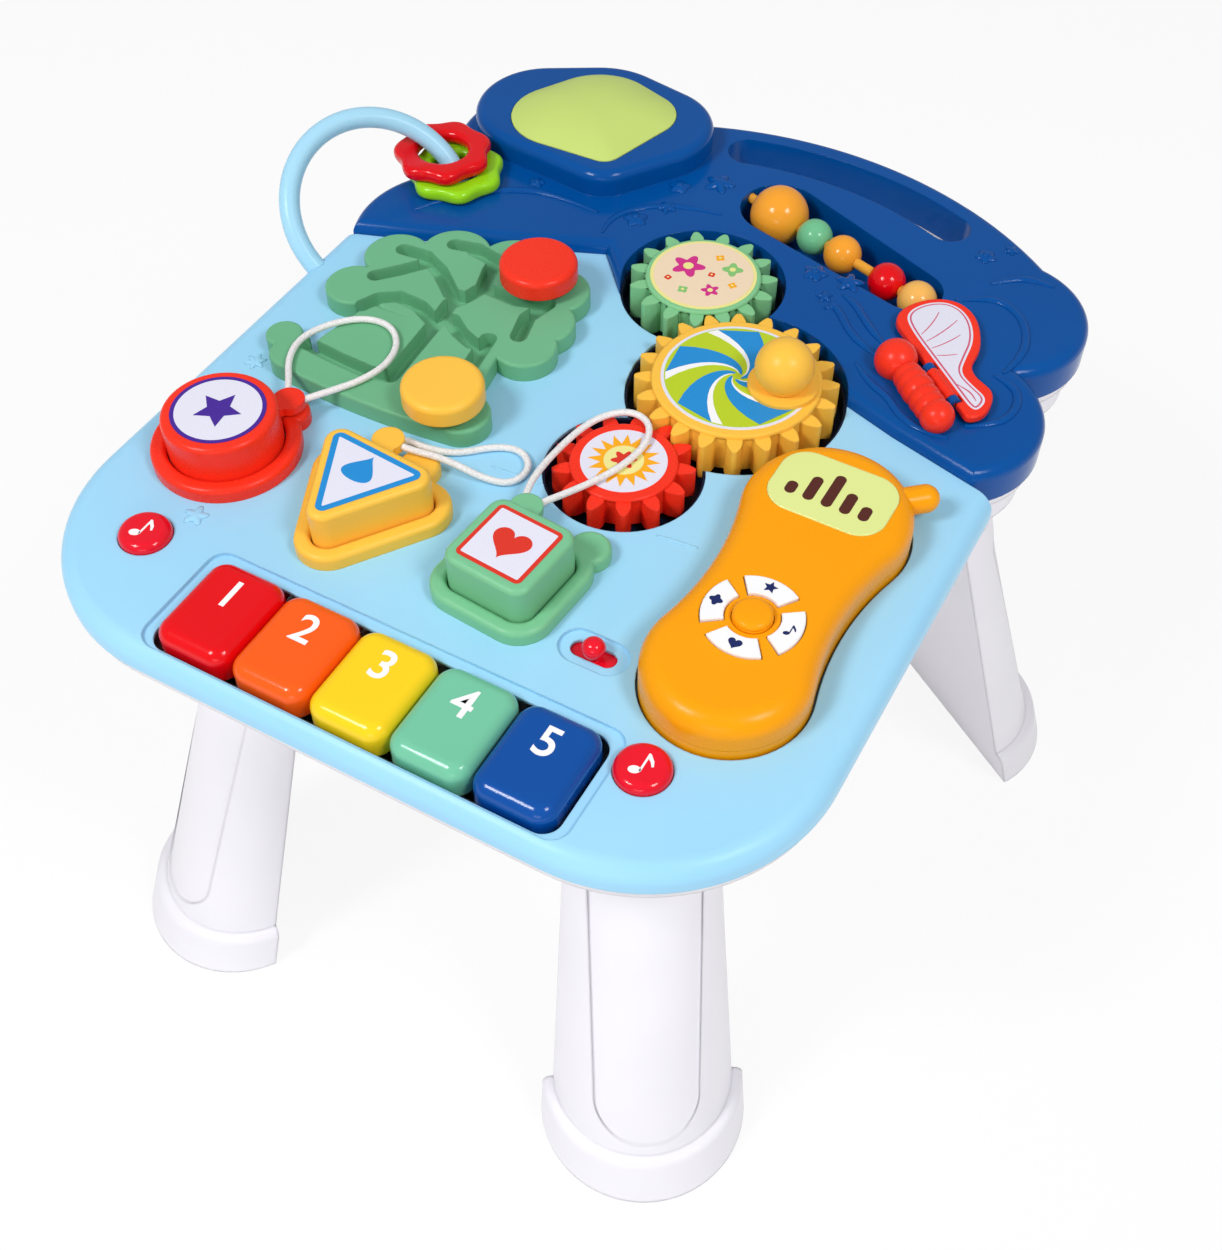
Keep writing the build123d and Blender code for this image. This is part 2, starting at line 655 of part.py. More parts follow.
# Front panel: a thin shell with rolled edges and everything that is let into it
with BuildPart() as front_panel:
    with BuildSketch(level(-skirt_depth)):
        front_outline(0, 0)
    extrude(amount=skirt_depth)
    rolled = [edge for edge in front_panel.edges().group_by(Axis.Z)[-1]
              if edge.center().Y < plan_shift + seam_ends[1] - 1]
    fillet(rolled, radius=front_edge_radius)
    with BuildSketch(level(-skirt_depth)):
        front_outline(shell_wall, -shell_wall)
        gear_pits(shell_wall, mode=Mode.SUBTRACT)
    extrude(amount=skirt_depth - front_edge_radius, mode=Mode.SUBTRACT)
    with BuildSketch(level(-front_edge_radius)):
        front_outline(front_edge_radius, -shell_wall)
        gear_pits(shell_wall, mode=Mode.SUBTRACT)
    extrude(amount=front_edge_radius - shell_wall, mode=Mode.SUBTRACT)
    # cradle block of the telephone
    with BuildSketch(level(phone_bottom - fit_gap - shell_wall)):
        phone_outline(cradle_gap + shell_wall)
    extrude(amount=fit_gap - phone_bottom)
    discs(screw_spots_front, screw_boss_radius, tray_floor, -shell_wall)
    # brackets of the key pivot rod
    with BuildSketch(level(pivot_level - pivot_barrel_radius)):
        for side in (-1, 1):
            with Locations(spot(keyboard_x + side * (rod_half - shell_wall), pivot_y)):
                Rectangle(2 * shell_wall, 2 * pivot_barrel_radius)
    extrude(amount=pivot_barrel_radius - pivot_level - shell_wall)
    # openings
    with BuildSketch(level(-skirt_depth)):
        gear_pits(0)
        with Locations(spot(keyboard_x, key_middle)):
            RectangleRounded(key_row + 2 * key_slot_margin, key_length + 2 * key_slot_margin, key_corner)
        for place in button_spots.values():
            with Locations(spot(*place)):
                Circle(button_radius + fit_gap)
        with Locations(spot(*switch_spot)):
            SlotOverall(*switch_slot)
    extrude(amount=skirt_depth, mode=Mode.SUBTRACT)
    with BuildSketch(level(-recess_depth)):
        with Locations(spot(keyboard_x, key_middle + key_slot_margin)):
            recess_length = key_length + 2 * key_recess_margin - 2 * key_slot_margin
            RectangleRounded(key_row + 2 * key_recess_margin, recess_length, key_corner)
        with Locations(spot(*switch_spot)):
            SlotOverall(*switch_recess)
    extrude(amount=recess_depth, mode=Mode.SUBTRACT)
    with BuildSketch(level(phone_bottom - fit_gap)):
        phone_outline(cradle_gap)
    extrude(amount=fit_gap - phone_bottom, mode=Mode.SUBTRACT)
    discs(screw_spots_front, screw_shank_radius, tray_floor, screw_tip, mode=Mode.SUBTRACT)
    with BuildSketch(pivot_plane):
        with Locations(pivot_point):
            Circle(pivot_rod_radius)
    extrude(amount=rod_half, both=True, mode=Mode.SUBTRACT)
    add(ring_tube.part, mode=Mode.SUBTRACT)
save(front_panel, "front_panel")

# Bead rod and wing pin, which the rear panel holds
with BuildPart() as bead_rod:
    rod_first = bead_pit_places[0] - bead_pit_radii[0] - rod_seat
    rod_last = bead_pit_places[1] + bead_pit_radii[1] + rod_seat
    with BuildSketch(rod_plane(rod_first)):
        Circle(rod_radius)
    extrude(amount=rod_last - rod_first)
save(bead_rod, "bead_rod")

with BuildPart() as wing_hinge_pin:
    with BuildSketch(wing_plane(wing_ear_starts[0])):
        Circle(wing_pin_radius)
    extrude(amount=wing_pin_length)
save(wing_hinge_pin, "wing_hinge_pin")

# Rear panel: cloud-shaped shell with the raised lobe of the light pad, the bead pit and the carrying slot
with BuildPart() as rear_panel:
    with BuildSketch(level(-skirt_depth)):
        cloud_outline(0)
        front_outline(-seam_gap, seam_gap, mode=Mode.SUBTRACT)
    extrude(amount=skirt_depth + rear_rise)
    fillet(rear_panel.edges().group_by(Axis.Z)[-1], radius=rear_edge_radius)
    with BuildSketch(level(rear_rise)):
        rounded_hull(pad_lobe_circles, 0)
    extrude(amount=pad_lobe_rise)
    fillet(rear_panel.edges().group_by(Axis.Z)[-1], radius=pad_lobe_edge)
    with BuildSketch(level(-skirt_depth)):
        cloud_outline(shell_wall)
        front_outline(-seam_gap - shell_wall, seam_gap + shell_wall, mode=Mode.SUBTRACT)
        gear_pits(shell_wall, mode=Mode.SUBTRACT)
        bead_pit(shell_wall, mode=Mode.SUBTRACT)
        grip_slot(shell_wall, mode=Mode.SUBTRACT)
    extrude(amount=skirt_depth + rear_rise - shell_wall, mode=Mode.SUBTRACT)
    with BuildSketch(level(rear_rise - shell_wall)):
        rounded_hull(pad_lobe_circles, -shell_wall)
    extrude(amount=pad_lobe_rise, mode=Mode.SUBTRACT)
    with BuildSketch(level(bead_pit_floor - bead_pit_base)):
        bead_pit(shell_wall)
    extrude(amount=-skirt_depth - bead_pit_floor + bead_pit_base)
    discs(screw_spots_rear, screw_boss_radius, tray_floor, rear_rise - shell_wall)
    for start in wing_ear_starts:
        ear_height = wing_pin_level - rear_rise + shell_wall
        with BuildSketch(wing_plane(start)):
            Circle(wing_barrel_radius)
            with Locations((0, -ear_height / 2)):
                Rectangle(2 * wing_barrel_radius, ear_height)
        extrude(amount=wing_ear_width)
    # openings
    with BuildSketch(level(-skirt_depth)):
        gear_pits(0)
        grip_slot(0)
    extrude(amount=skirt_depth + rear_rise, mode=Mode.SUBTRACT)
    with BuildSketch(level(bead_pit_floor)):
        bead_pit(0)
    extrude(amount=rear_rise - bead_pit_floor, mode=Mode.SUBTRACT)
    with BuildSketch(level(rear_rise)):
        rounded_hull(pad_circles, fit_gap)
    extrude(amount=pad_lobe_rise, mode=Mode.SUBTRACT)
    discs(screw_spots_rear, screw_shank_radius, tray_floor, screw_tip, mode=Mode.SUBTRACT)
    add(ring_tube.part, mode=Mode.SUBTRACT)
    add(bead_rod.part, mode=Mode.SUBTRACT)
    add(wing_hinge_pin.part, mode=Mode.SUBTRACT)
save(rear_panel, "rear_panel")

with BuildPart() as dome_cover:
    with BuildSketch(level(lobe_top - shell_wall - fit_gap)):
        rounded_hull(pad_circles, 0)
    extrude(amount=shell_wall + fit_gap + pad_crown)
    fillet(dome_cover.edges().group_by(Axis.Z)[-1], radius=pad_crown_edge)
    with BuildSketch(level(lobe_top - shell_wall - fit_gap - pad_flange)):
        rounded_hull(pad_circles, fit_gap + pad_flange)
    extrude(amount=pad_flange)
save(dome_cover, "dome_cover")

# Gear tray under both panels: floor, liner of the pits, bosses and axles
with BuildPart() as gear_tray:
    with BuildSketch(level(pit_floor - shell_wall)):
        gear_pits(shell_wall)
    extrude(amount=tray_top - pit_floor + shell_wall)
    with BuildSketch(level(pit_floor)):
        gear_pits(0)
    extrude(amount=tray_top - pit_floor, mode=Mode.SUBTRACT)
    with BuildSketch(level(pit_floor)):
        gear_pits(0)
        gear_pits(-pit_liner, mode=Mode.SUBTRACT)
    extrude(amount=pit_liner_top - pit_floor)
    axle_places = [center for center, teeth in gear_places]
    discs(axle_places, gear_boss_radius, pit_floor, gear_bottom - fit_gap)
    discs(axle_places, axle_radius, pit_floor, axle_top)
save(gear_tray, "gear_tray")

gear_top = gear_bottom + gear_thickness
gears = {"gear_red": (red_center, red_teeth, mesh_phase(red_teeth, red_direction), red_disc),
         "gear_yellow": (yellow_center, yellow_teeth, yellow_phase, yellow_disc),
         "gear_green": (green_center, green_teeth, mesh_phase(green_teeth, green_direction), green_disc)}
for name, (center, teeth, phase, disc) in gears.items():
    with BuildPart() as gear:
        with BuildSketch(level(gear_bottom)) as gear_plan:
            gear_outline(center, teeth, phase)
            fillet(gear_plan.vertices().sort_by_distance(spot(*center))[-2 * teeth:], radius=tooth_tip_round)
        extrude(amount=gear_thickness)
        discs([center], disc[0], gear_top, gear_top + disc[1])
        fillet(gear.edges().group_by(Axis.Z)[-1], radius=gear_disc_edge)
        discs([center], axle_radius + run_gap, gear_bottom, axle_top + fit_gap, mode=Mode.SUBTRACT)
    save(gear, name)

with BuildPart() as crank_knob:
    crank_base = gear_top + yellow_disc[1]
    crank_spot = polar(yellow_center, crank_angle, crank_offset)
    discs([crank_spot], crank_flange[0], crank_base, crank_base + crank_flange[1])
    with Locations((*spot(*crank_spot), surface_height + crank_base + crank_ball_lift)):
        Sphere(crank_ball_radius)
    split(bisect_by=level(crank_base), keep=Keep.TOP)
save(crank_knob, "crank_knob")

# Keys on one pivot rod, each with a plunger over the contact mat
for index, color in enumerate(("red", "orange", "yellow", "green", "blue")):
    with BuildPart() as key:
        with BuildSketch(level(key_bottom)):
            with Locations(spot(key_x(index), key_middle)):
                RectangleRounded(key_pitch - key_gap, key_length, key_corner)
        extrude(amount=key_top - key_bottom)
        fillet(key.edges().group_by(Axis.Z)[-1], radius=key_crown)
        with BuildSketch(level(pivot_level - pivot_barrel_radius)):
            with Locations(spot(key_x(index), key_back)):
                Rectangle(pivot_barrel_width, 2 * pivot_back)
        extrude(amount=arm_thickness)
        with BuildSketch(Plane.YZ.offset(key_x(index))):
            with Locations(pivot_point):
                Circle(pivot_barrel_radius)
        extrude(amount=pivot_barrel_width / 2, both=True)
        plunger_spot = (key_x(index), key_back - plunger_from_back)
        discs([plunger_spot], plunger_radius, key_bottom - plunger_length, key_bottom)
        with BuildSketch(Plane.YZ.offset(key_x(index))):
            with Locations(pivot_point):
                Circle(pivot_rod_radius + run_gap)
        extrude(amount=pivot_barrel_width, both=True, mode=Mode.SUBTRACT)
    save(key, f"key_{color}")

with BuildPart() as key_pivot_rod:
    with BuildSketch(pivot_plane):
        with Locations(pivot_point):
            Circle(pivot_rod_radius)
    extrude(amount=rod_half, both=True)
save(key_pivot_rod, "key_pivot_rod")

# Buttons and power switch, held from below by wider flanges
under_panel = -shell_wall - fit_gap
for name, place in button_spots.items():
    with BuildPart() as button:
        discs([place], button_radius, under_panel, button_top)
        fillet(button.edges().group_by(Axis.Z)[-1], radius=button_edge)
        discs([place], button_flange[0], under_panel - button_flange[1], under_panel)
    save(button, name)

with BuildPart() as power_switch:
    with BuildSketch(level(under_panel - switch_plate[2])):
        with Locations(spot(*switch_spot)):
            Rectangle(switch_plate[0], switch_plate[1])
    extrude(amount=switch_plate[2])
    discs([switch_spot], switch_stem_radius, under_panel, switch_knob_level)
    with Locations((*spot(*switch_spot), surface_height + switch_knob_level)):
        Sphere(switch_knob_radius)
save(power_switch, "power_switch")

# Blocks, their sockets and their cords
blocks = {"round": (round_center, round_tab, round_cord),
          "triangle": (triangle_center, triangle_tab, triangle_cord),
          "square": (square_center, square_tab, square_cord)}
for kind, (center, tab, points) in blocks.items():
    cord_points = [(*spot(x, y), surface_height + z) for x, y, z in points]
    with BuildPart() as cord:
        with BuildLine():
            cord_path = FilletPolyline(*cord_points, radius=cord_radii(cord_points))
        with BuildSketch(Plane(origin=cord_path @ 0, z_dir=cord_path % 0)):
            Circle(cord_diameter / 2)
        sweep()
    cord_volume = pi * cord_diameter ** 2 / 4 * cord_path.length
    print(kind, "cord radii", [round(radius, 1) for radius in cord_radii(cord_points)],
          "length", round(cord_path.length, 1), "volume ratio", round(cord.part.volume / cord_volume, 4))
    save(cord, f"cord_{kind}")

    with BuildPart() as socket:
        with BuildSketch(level(0)):
            block_shape(kind, socket_gap + socket_rim)
            with Locations(spot(*socket_ears[kind])):
                Circle(socket_ear_radius)
            block_shape(kind, socket_gap, mode=Mode.SUBTRACT)
        extrude(amount=socket_height)
        fillet(socket.edges().group_by(Axis.Z)[-1], radius=socket_edge)
    save(socket, f"socket_{kind}")

    with BuildPart() as block:
        with BuildSketch(level(fit_gap)):
            block_shape(kind, 0)
        extrude(amount=block_top - fit_gap)
        fillet(block.edges().group_by(Axis.Z)[-1], radius=block_edge)
        turn = heading(center, tab)
        with BuildSketch(level(tab_level)):
            with Locations(spot(*tab)):
                Circle(tab_radius)
            filled([polar(tab, turn + 90, tab_neck / 2), polar(center, turn + 90, tab_neck / 2),
                    polar(center, turn - 90, tab_neck / 2), polar(tab, turn - 90, tab_neck / 2)])
        extrude(amount=tab_thickness)
        add(cord.part, mode=Mode.SUBTRACT)
    save(block, f"block_{kind}")

# Tree maze plate with its grooves, and the knobs that run in them
with BuildPart() as maze_plate:
    with BuildSketch(level(0)):
        for x, y, radius in crown_lobes + base_lobes:
            with Locations(spot(x, y)):
                Circle(radius)
        filled(crown_core)
        filled(trunk_points)
        front = [spot(x, y) for x, y in base_front]
        with BuildLine() as base_line:
            ThreePointArc(*front)
            back = [spot(x, base_back_y) for x, y in base_front]
            Polyline(front[2], back[2], back[0], front[0])
        make_face(base_line.edges())
    extrude(amount=maze_height)
    fillet(maze_plate.edges().group_by(Axis.Z)[-1], radius=maze_edge)
    with BuildSketch(level(groove_floor)):
        for points in maze_grooves:
            groove(points)
        groove([red_knob_spot, red_knob_end])
        groove([yellow_knob_spot, yellow_knob_end])
    extrude(amount=maze_height - groove_floor, mode=Mode.SUBTRACT)
save(maze_plate, "maze_plate")

for name, place in (("maze_knob_red", red_knob_spot), ("maze_knob_yellow", yellow_knob_spot)):
    with BuildPart() as knob:
        discs([place], maze_knob_radius, maze_knob_bottom, maze_knob_bottom + maze_knob_height)
        fillet(knob.edges().group_by(Axis.Z)[-1], radius=maze_knob_edge)
        discs([place], maze_stem_radius, groove_floor + fit_gap, maze_knob_bottom)
    save(knob, name)

# Beads on their rod
for name, (distance, radius) in beads.items():
    with BuildPart() as bead:
        with Locations((*spot(*along_rod(distance)), surface_height + rod_level)):
            Sphere(radius)
        with BuildSketch(rod_plane(distance - radius)):
            Circle(rod_radius + run_gap)
        extrude(amount=2 * radius, mode=Mode.SUBTRACT)
    save(bead, name)

# Dragonfly
with BuildPart() as dragonfly_body:
    for along, radius in fly_segments:
        with Locations((*fly_point(along, 0), surface_height + fly_level)):
            Sphere(radius)
    split(bisect_by=level(rear_rise), keep=Keep.TOP)
save(dragonfly_body, "dragonfly_body")

with BuildPart() as dragonfly_wing:
    with BuildSketch(level(wing_pin_level - wing_thickness / 2)) as wing_plan:
        with BuildLine():
            free_edge = Spline(*[fly_point(along, side) for along, side in wing_outline])
            Line(free_edge @ 1, free_edge @ 0)
        make_face()
        fillet(wing_plan.vertices(), radius=wing_corner)
    extrude(amount=wing_thickness)
    fillet(dragonfly_wing.edges().group_by(Axis.Z)[-1], radius=wing_edge)
    with BuildSketch(level(wing_pin_level - wing_thickness / 2)):
        for start in wing_ear_starts:
            clear = wing_barrel_radius + wing_ear_gap
            middle = fly_point(start + wing_ear_width / 2, wing_pin_offset)
            with Locations(Location((*middle, 0), (0, 0, fly_angle))):
                Rectangle(wing_ear_width + 2 * wing_ear_gap, 2 * clear)
    extrude(amount=wing_thickness, mode=Mode.SUBTRACT)
    with BuildSketch(wing_plane(wing_barrel_span[0])):
        Circle(wing_barrel_radius)
    extrude(amount=wing_barrel_span[1] - wing_barrel_span[0])
    with BuildSketch(wing_plane(wing_ear_starts[0])):
        Circle(wing_pin_radius + run_gap)
    extrude(amount=wing_pin_length, mode=Mode.SUBTRACT)
save(dragonfly_wing, "dragonfly_wing")

# Toy telephone: back, shell, screen and buttons
dial_places = {"right": 0, "top": 90, "left": 180, "bottom": 270}
with BuildPart() as phone_back:
    with BuildSketch(level(phone_bottom)):
        phone_outline(0)
    extrude(amount=phone_split - phone_bottom)
    fillet(phone_back.edges().group_by(Axis.Z)[0], radius=phone_back_edge)
save(phone_back, "phone_back")

with BuildPart() as phone_shell:
    with BuildSketch(level(phone_split)):
        phone_outline(0)
    extrude(amount=phone_top - phone_split)
    fillet(phone_shell.edges().group_by(Axis.Z)[-1], radius=phone_edge)
    # stub antenna beside the head
    antenna_foot = (phone_x, phone_head[0])
    antenna_tip = polar(antenna_foot, antenna_angle, antenna_reach)
    antenna_axis = (cos(radians(antenna_angle)), sin(radians(antenna_angle)), 0)
    with BuildSketch(Plane(origin=(*spot(*antenna_foot), surface_height + antenna_level), z_dir=antenna_axis)):
        Circle(antenna_radius)
    extrude(amount=antenna_reach)
    with Locations((*spot(*antenna_tip), surface_height + antenna_level)):
        Sphere(antenna_radius)
    split(bisect_by=level(phone_split), keep=Keep.TOP)
    with BuildSketch(level(phone_split)):
        phone_outline(-shell_wall)
    extrude(amount=phone_top - phone_split - dial_pocket - shell_wall, mode=Mode.SUBTRACT)
    with BuildSketch(level(phone_top - screen_depth)):
        with Locations(spot(phone_x, screen_y)):
            RectangleRounded(*screen_size, screen_corner)
    extrude(amount=screen_depth, mode=Mode.SUBTRACT)
    with BuildSketch(level(phone_top - dial_pocket)):
        with Locations(spot(phone_x, dial_y)):
            Circle(dial_button_radius + fit_gap)
        for turn in dial_places.values():
            dial_sector(turn, fit_gap)
    extrude(amount=dial_pocket, mode=Mode.SUBTRACT)
save(phone_shell, "phone_shell")

with BuildPart() as phone_screen:
    with BuildSketch(level(phone_top - screen_depth)):
        with Locations(spot(phone_x, screen_y)):
            RectangleRounded(*screen_size, screen_corner)
    extrude(amount=screen_depth + screen_proud)
    fillet(phone_screen.edges().group_by(Axis.Z)[-1], radius=screen_edge)
save(phone_screen, "phone_screen")

dial_bottom = phone_top - dial_pocket + dial_floor_gap
with BuildPart() as phone_center_button:
    discs([(phone_x, dial_y)], dial_button_radius, dial_bottom, phone_top + dial_proud)
    fillet(phone_center_button.edges().group_by(Axis.Z)[-1], radius=dial_button_edge)
save(phone_center_button, "phone_center_button")

for name, turn in dial_places.items():
    with BuildPart() as dial_button:
        with BuildSketch(level(dial_bottom)):
            dial_sector(turn, 0)
        extrude(amount=phone_top + dial_proud - dial_bottom)
        fillet(dial_button.edges().group_by(Axis.Z)[-1], radius=dial_sector_edge)
    save(dial_button, f"phone_button_{name}")

# Legs: hollow, closed at the foot, with a spigot into the tray's collar
spigot_foot = surface_height + leg_top
for leg in ("front", "rear"):
    turn = radians(leg_turn[leg])
    outward = (sin(turn), -cos(turn), 0)
    face_origin = (*spot(*leg_foot[leg]), leg_window_level)
    face_plane = Plane(origin=face_origin, x_dir=(cos(turn), sin(turn), 0), z_dir=outward)
    with BuildPart() as window:
        with BuildSketch(face_plane):
            with Locations((0, leg_window[1] / 2)):
                RectangleRounded(leg_window[0], leg_window[1], leg_window_corner)
        extrude(amount=2 * leg_spread, both=True)
        loft([leg_section(leg, 0, -leg_window_depth, 0), leg_section(leg, spigot_foot, -leg_window_depth, 0)],
             mode=Mode.SUBTRACT)
    with BuildPart() as foot_band:
        loft([leg_section(leg, 0, foot_flange, 0), leg_section(leg, foot_height, foot_flange, 0)])
        fillet(foot_band.edges().group_by(Axis.Z)[-1].filter_by(GeomType.CIRCLE), radius=foot_edge)
    with BuildPart() as leg_right:
        loft([leg_section(leg, 0, 0, 0), leg_section(leg, spigot_foot, 0, 0)])
        add(foot_band.part)
        extrude(leg_section(leg, spigot_foot, 0, 0), amount=collar_height)
        bore_top = leg_section(leg, spigot_foot, -2 * leg_wall, leg_wall)
        loft([leg_section(leg, leg_wall, -2 * leg_wall, leg_wall), bore_top], mode=Mode.SUBTRACT)
        extrude(bore_top, amount=collar_height, mode=Mode.SUBTRACT)
        add(window.part, mode=Mode.SUBTRACT)
    save(leg_right, f"leg_{leg}_right")
    with BuildPart() as leg_left:
        mirror(leg_right.part, about=Plane.YZ)
    save(leg_left, f"leg_{leg}_left")

# Collars that hold the legs, on the right side of the tray and mirrored to the left
with BuildPart() as collars:
    for leg in ("front", "rear"):
        extrude(leg_section(leg, spigot_foot, collar_wall, -collar_wall), amount=collar_height)
        extrude(leg_section(leg, spigot_foot, 0, 0), amount=collar_height, mode=Mode.SUBTRACT)
    mirror(about=Plane.YZ)

# Bottom tray with leg collars, board posts, battery opening and speaker grille
battery_size = (cell_length + 2 * door_opening_margin, cell_count * cell_pitch + 2 * door_opening_margin)
screw_spots = screw_spots_front + screw_spots_rear
with BuildPart() as bottom_tray:
    with BuildSketch(level(tray_top - tray_rim)):
        front_outline(tray_inset, 0)
        cloud_outline(tray_inset)
    extrude(amount=tray_rim)
    with BuildSketch(level(tray_bottom)):
        front_outline(tray_front_inset, 0)
        cloud_outline(tray_rear_inset)
    extrude(amount=tray_depth - tray_rim)
    with BuildSketch(level(tray_floor)):
        front_outline(tray_front_inset + tray_wall, 0)
        cloud_outline(tray_rear_inset + tray_wall)
        grip_slot(shell_wall, mode=Mode.SUBTRACT)
    extrude(amount=tray_depth - tray_wall, mode=Mode.SUBTRACT)
    with BuildSketch(level(tray_top - tray_rim + tray_wall)):
        front_outline(tray_inset + tray_wall, 0)
        cloud_outline(tray_inset + tray_wall)
        grip_slot(shell_wall, mode=Mode.SUBTRACT)
    extrude(amount=tray_rim - tray_wall, mode=Mode.SUBTRACT)
    with BuildSketch(level(tray_bottom)):
        grip_slot(0)
    extrude(amount=tray_depth, mode=Mode.SUBTRACT)
    add(collars.part)
    post_x, post_y = board_post_grid[0] / 2, board_post_grid[1] / 2
    posts = [(keyboard_x + x, board_y + y) for x in (-post_x, post_x) for y in (-post_y, post_y)]
    discs(posts, post_radius, tray_floor, board_level)
    with BuildSketch(level(tray_bottom)):
        with Locations(spot(*battery_center)):
            Rectangle(*battery_size)
        with Locations(spot(*speaker_center)):
            Circle(grille_hole_radius)
            with PolarLocations(grille_circle, grille_holes):
                Circle(grille_hole_radius)
    extrude(amount=tray_wall, mode=Mode.SUBTRACT)
    discs(screw_spots, screw_shank_radius, tray_bottom, tray_floor, mode=Mode.SUBTRACT)
save(bottom_tray, "bottom_tray")

with BuildPart() as battery_door:
    with BuildSketch(level(tray_bottom - door_thickness)):
        with Locations(spot(*battery_center)):
            RectangleRounded(battery_size[0] + 2 * door_lap, battery_size[1] + 2 * door_lap, door_lap)
    extrude(amount=door_thickness)
save(battery_door, "battery_door")

with BuildPart() as battery_cells:
    for index in range(cell_count):
        x, y = spot(battery_center[0], battery_center[1] + (index - (cell_count - 1) / 2) * cell_pitch)
        with BuildSketch(Plane.YZ.offset(x)):
            with Locations((y, surface_height + tray_bottom + cell_radius)):
                Circle(cell_radius)
        extrude(amount=cell_length / 2, both=True)
save(battery_cells, "battery_cells")

with BuildPart() as circuit_board:
    with BuildSketch(level(board_level)):
        with Locations(spot(keyboard_x, board_y)):
            Rectangle(board_size[0], board_size[1])
    extrude(amount=board_size[2])
    with BuildSketch(level(board_level)):
        with Locations(spot(keyboard_x, board_y)):
            Rectangle(chip_size[0], chip_size[1])
    extrude(amount=-chip_size[2])
save(circuit_board, "circuit_board")

with BuildPart() as contact_mat:
    with BuildSketch(level(board_level + board_size[2])):
        with Locations(spot(keyboard_x, key_back - plunger_from_back)):
            Rectangle(mat_size[0], mat_size[1])
    extrude(amount=mat_size[2])
save(contact_mat, "contact_mat")

with BuildPart() as speaker:
    discs([speaker_center], speaker_radius, tray_floor, tray_floor + speaker_cone)
    discs([speaker_center], speaker_magnet, tray_floor, tray_floor + speaker_height)
save(speaker, "speaker")

with BuildPart() as case_screws:
    discs(screw_spots, screw_shank_radius, tray_bottom, screw_tip)
    discs(screw_spots, screw_head[0], tray_bottom - screw_head[1], tray_bottom)
save(case_screws, "case_screws")
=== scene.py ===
import bpy
import bmesh
import json
from math import atan2, cos, pi, radians, sin
from mathutils import Matrix, Vector


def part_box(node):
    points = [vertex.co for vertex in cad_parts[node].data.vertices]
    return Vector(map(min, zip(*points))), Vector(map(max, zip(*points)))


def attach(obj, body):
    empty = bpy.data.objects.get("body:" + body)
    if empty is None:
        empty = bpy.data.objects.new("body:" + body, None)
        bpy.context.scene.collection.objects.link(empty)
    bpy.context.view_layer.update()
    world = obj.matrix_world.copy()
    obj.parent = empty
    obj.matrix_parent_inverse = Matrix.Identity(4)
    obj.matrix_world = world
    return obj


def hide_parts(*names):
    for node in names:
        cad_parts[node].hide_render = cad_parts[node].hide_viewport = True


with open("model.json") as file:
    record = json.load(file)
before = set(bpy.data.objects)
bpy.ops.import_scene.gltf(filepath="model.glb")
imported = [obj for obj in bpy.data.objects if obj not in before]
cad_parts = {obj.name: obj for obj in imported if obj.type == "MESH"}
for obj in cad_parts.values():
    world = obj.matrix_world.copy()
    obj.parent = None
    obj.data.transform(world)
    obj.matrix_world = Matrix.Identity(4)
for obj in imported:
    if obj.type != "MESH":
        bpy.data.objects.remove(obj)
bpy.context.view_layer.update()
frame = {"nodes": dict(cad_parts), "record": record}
nodes = frame["nodes"]
mm = 0.001
weld = 0.002 * mm  # corners closer than this are one corner
panelLevel = 260.0  # height of the front panel's top face
planShift = 5.905184923  # the plan's own zero lies this far behind the frame's
print("frame loaded:", len(nodes), "nodes")


def linear(code):
    parts = [int(code[i:i + 2], 16) / 255 for i in (1, 3, 5)]
    return [c / 12.92 if c <= 0.04045 else ((c + 0.055) / 1.055) ** 2.4 for c in parts] + [1.0]


def addNode(tree, kind, settings=None, links=None):
    node = tree.nodes.new(kind)
    for key, value in (settings or {}).items():
        if isinstance(key, str) and hasattr(node, key):
            setattr(node, key, value)
        else:
            node.inputs[key].default_value = value
    for key, source in (links or {}).items():
        tree.links.new(source, node.inputs[key])
    return node


def blankMaterial(name):
    material = bpy.data.materials.new(name)
    material.use_nodes = True
    material.node_tree.nodes.clear()
    return material, material.node_tree


def spot(x, y, level=0.0):
    # a place on the plan, in metres, at a level over the front panel's top face
    return Vector((x * mm, (y + planShift) * mm, (panelLevel + level) * mm))


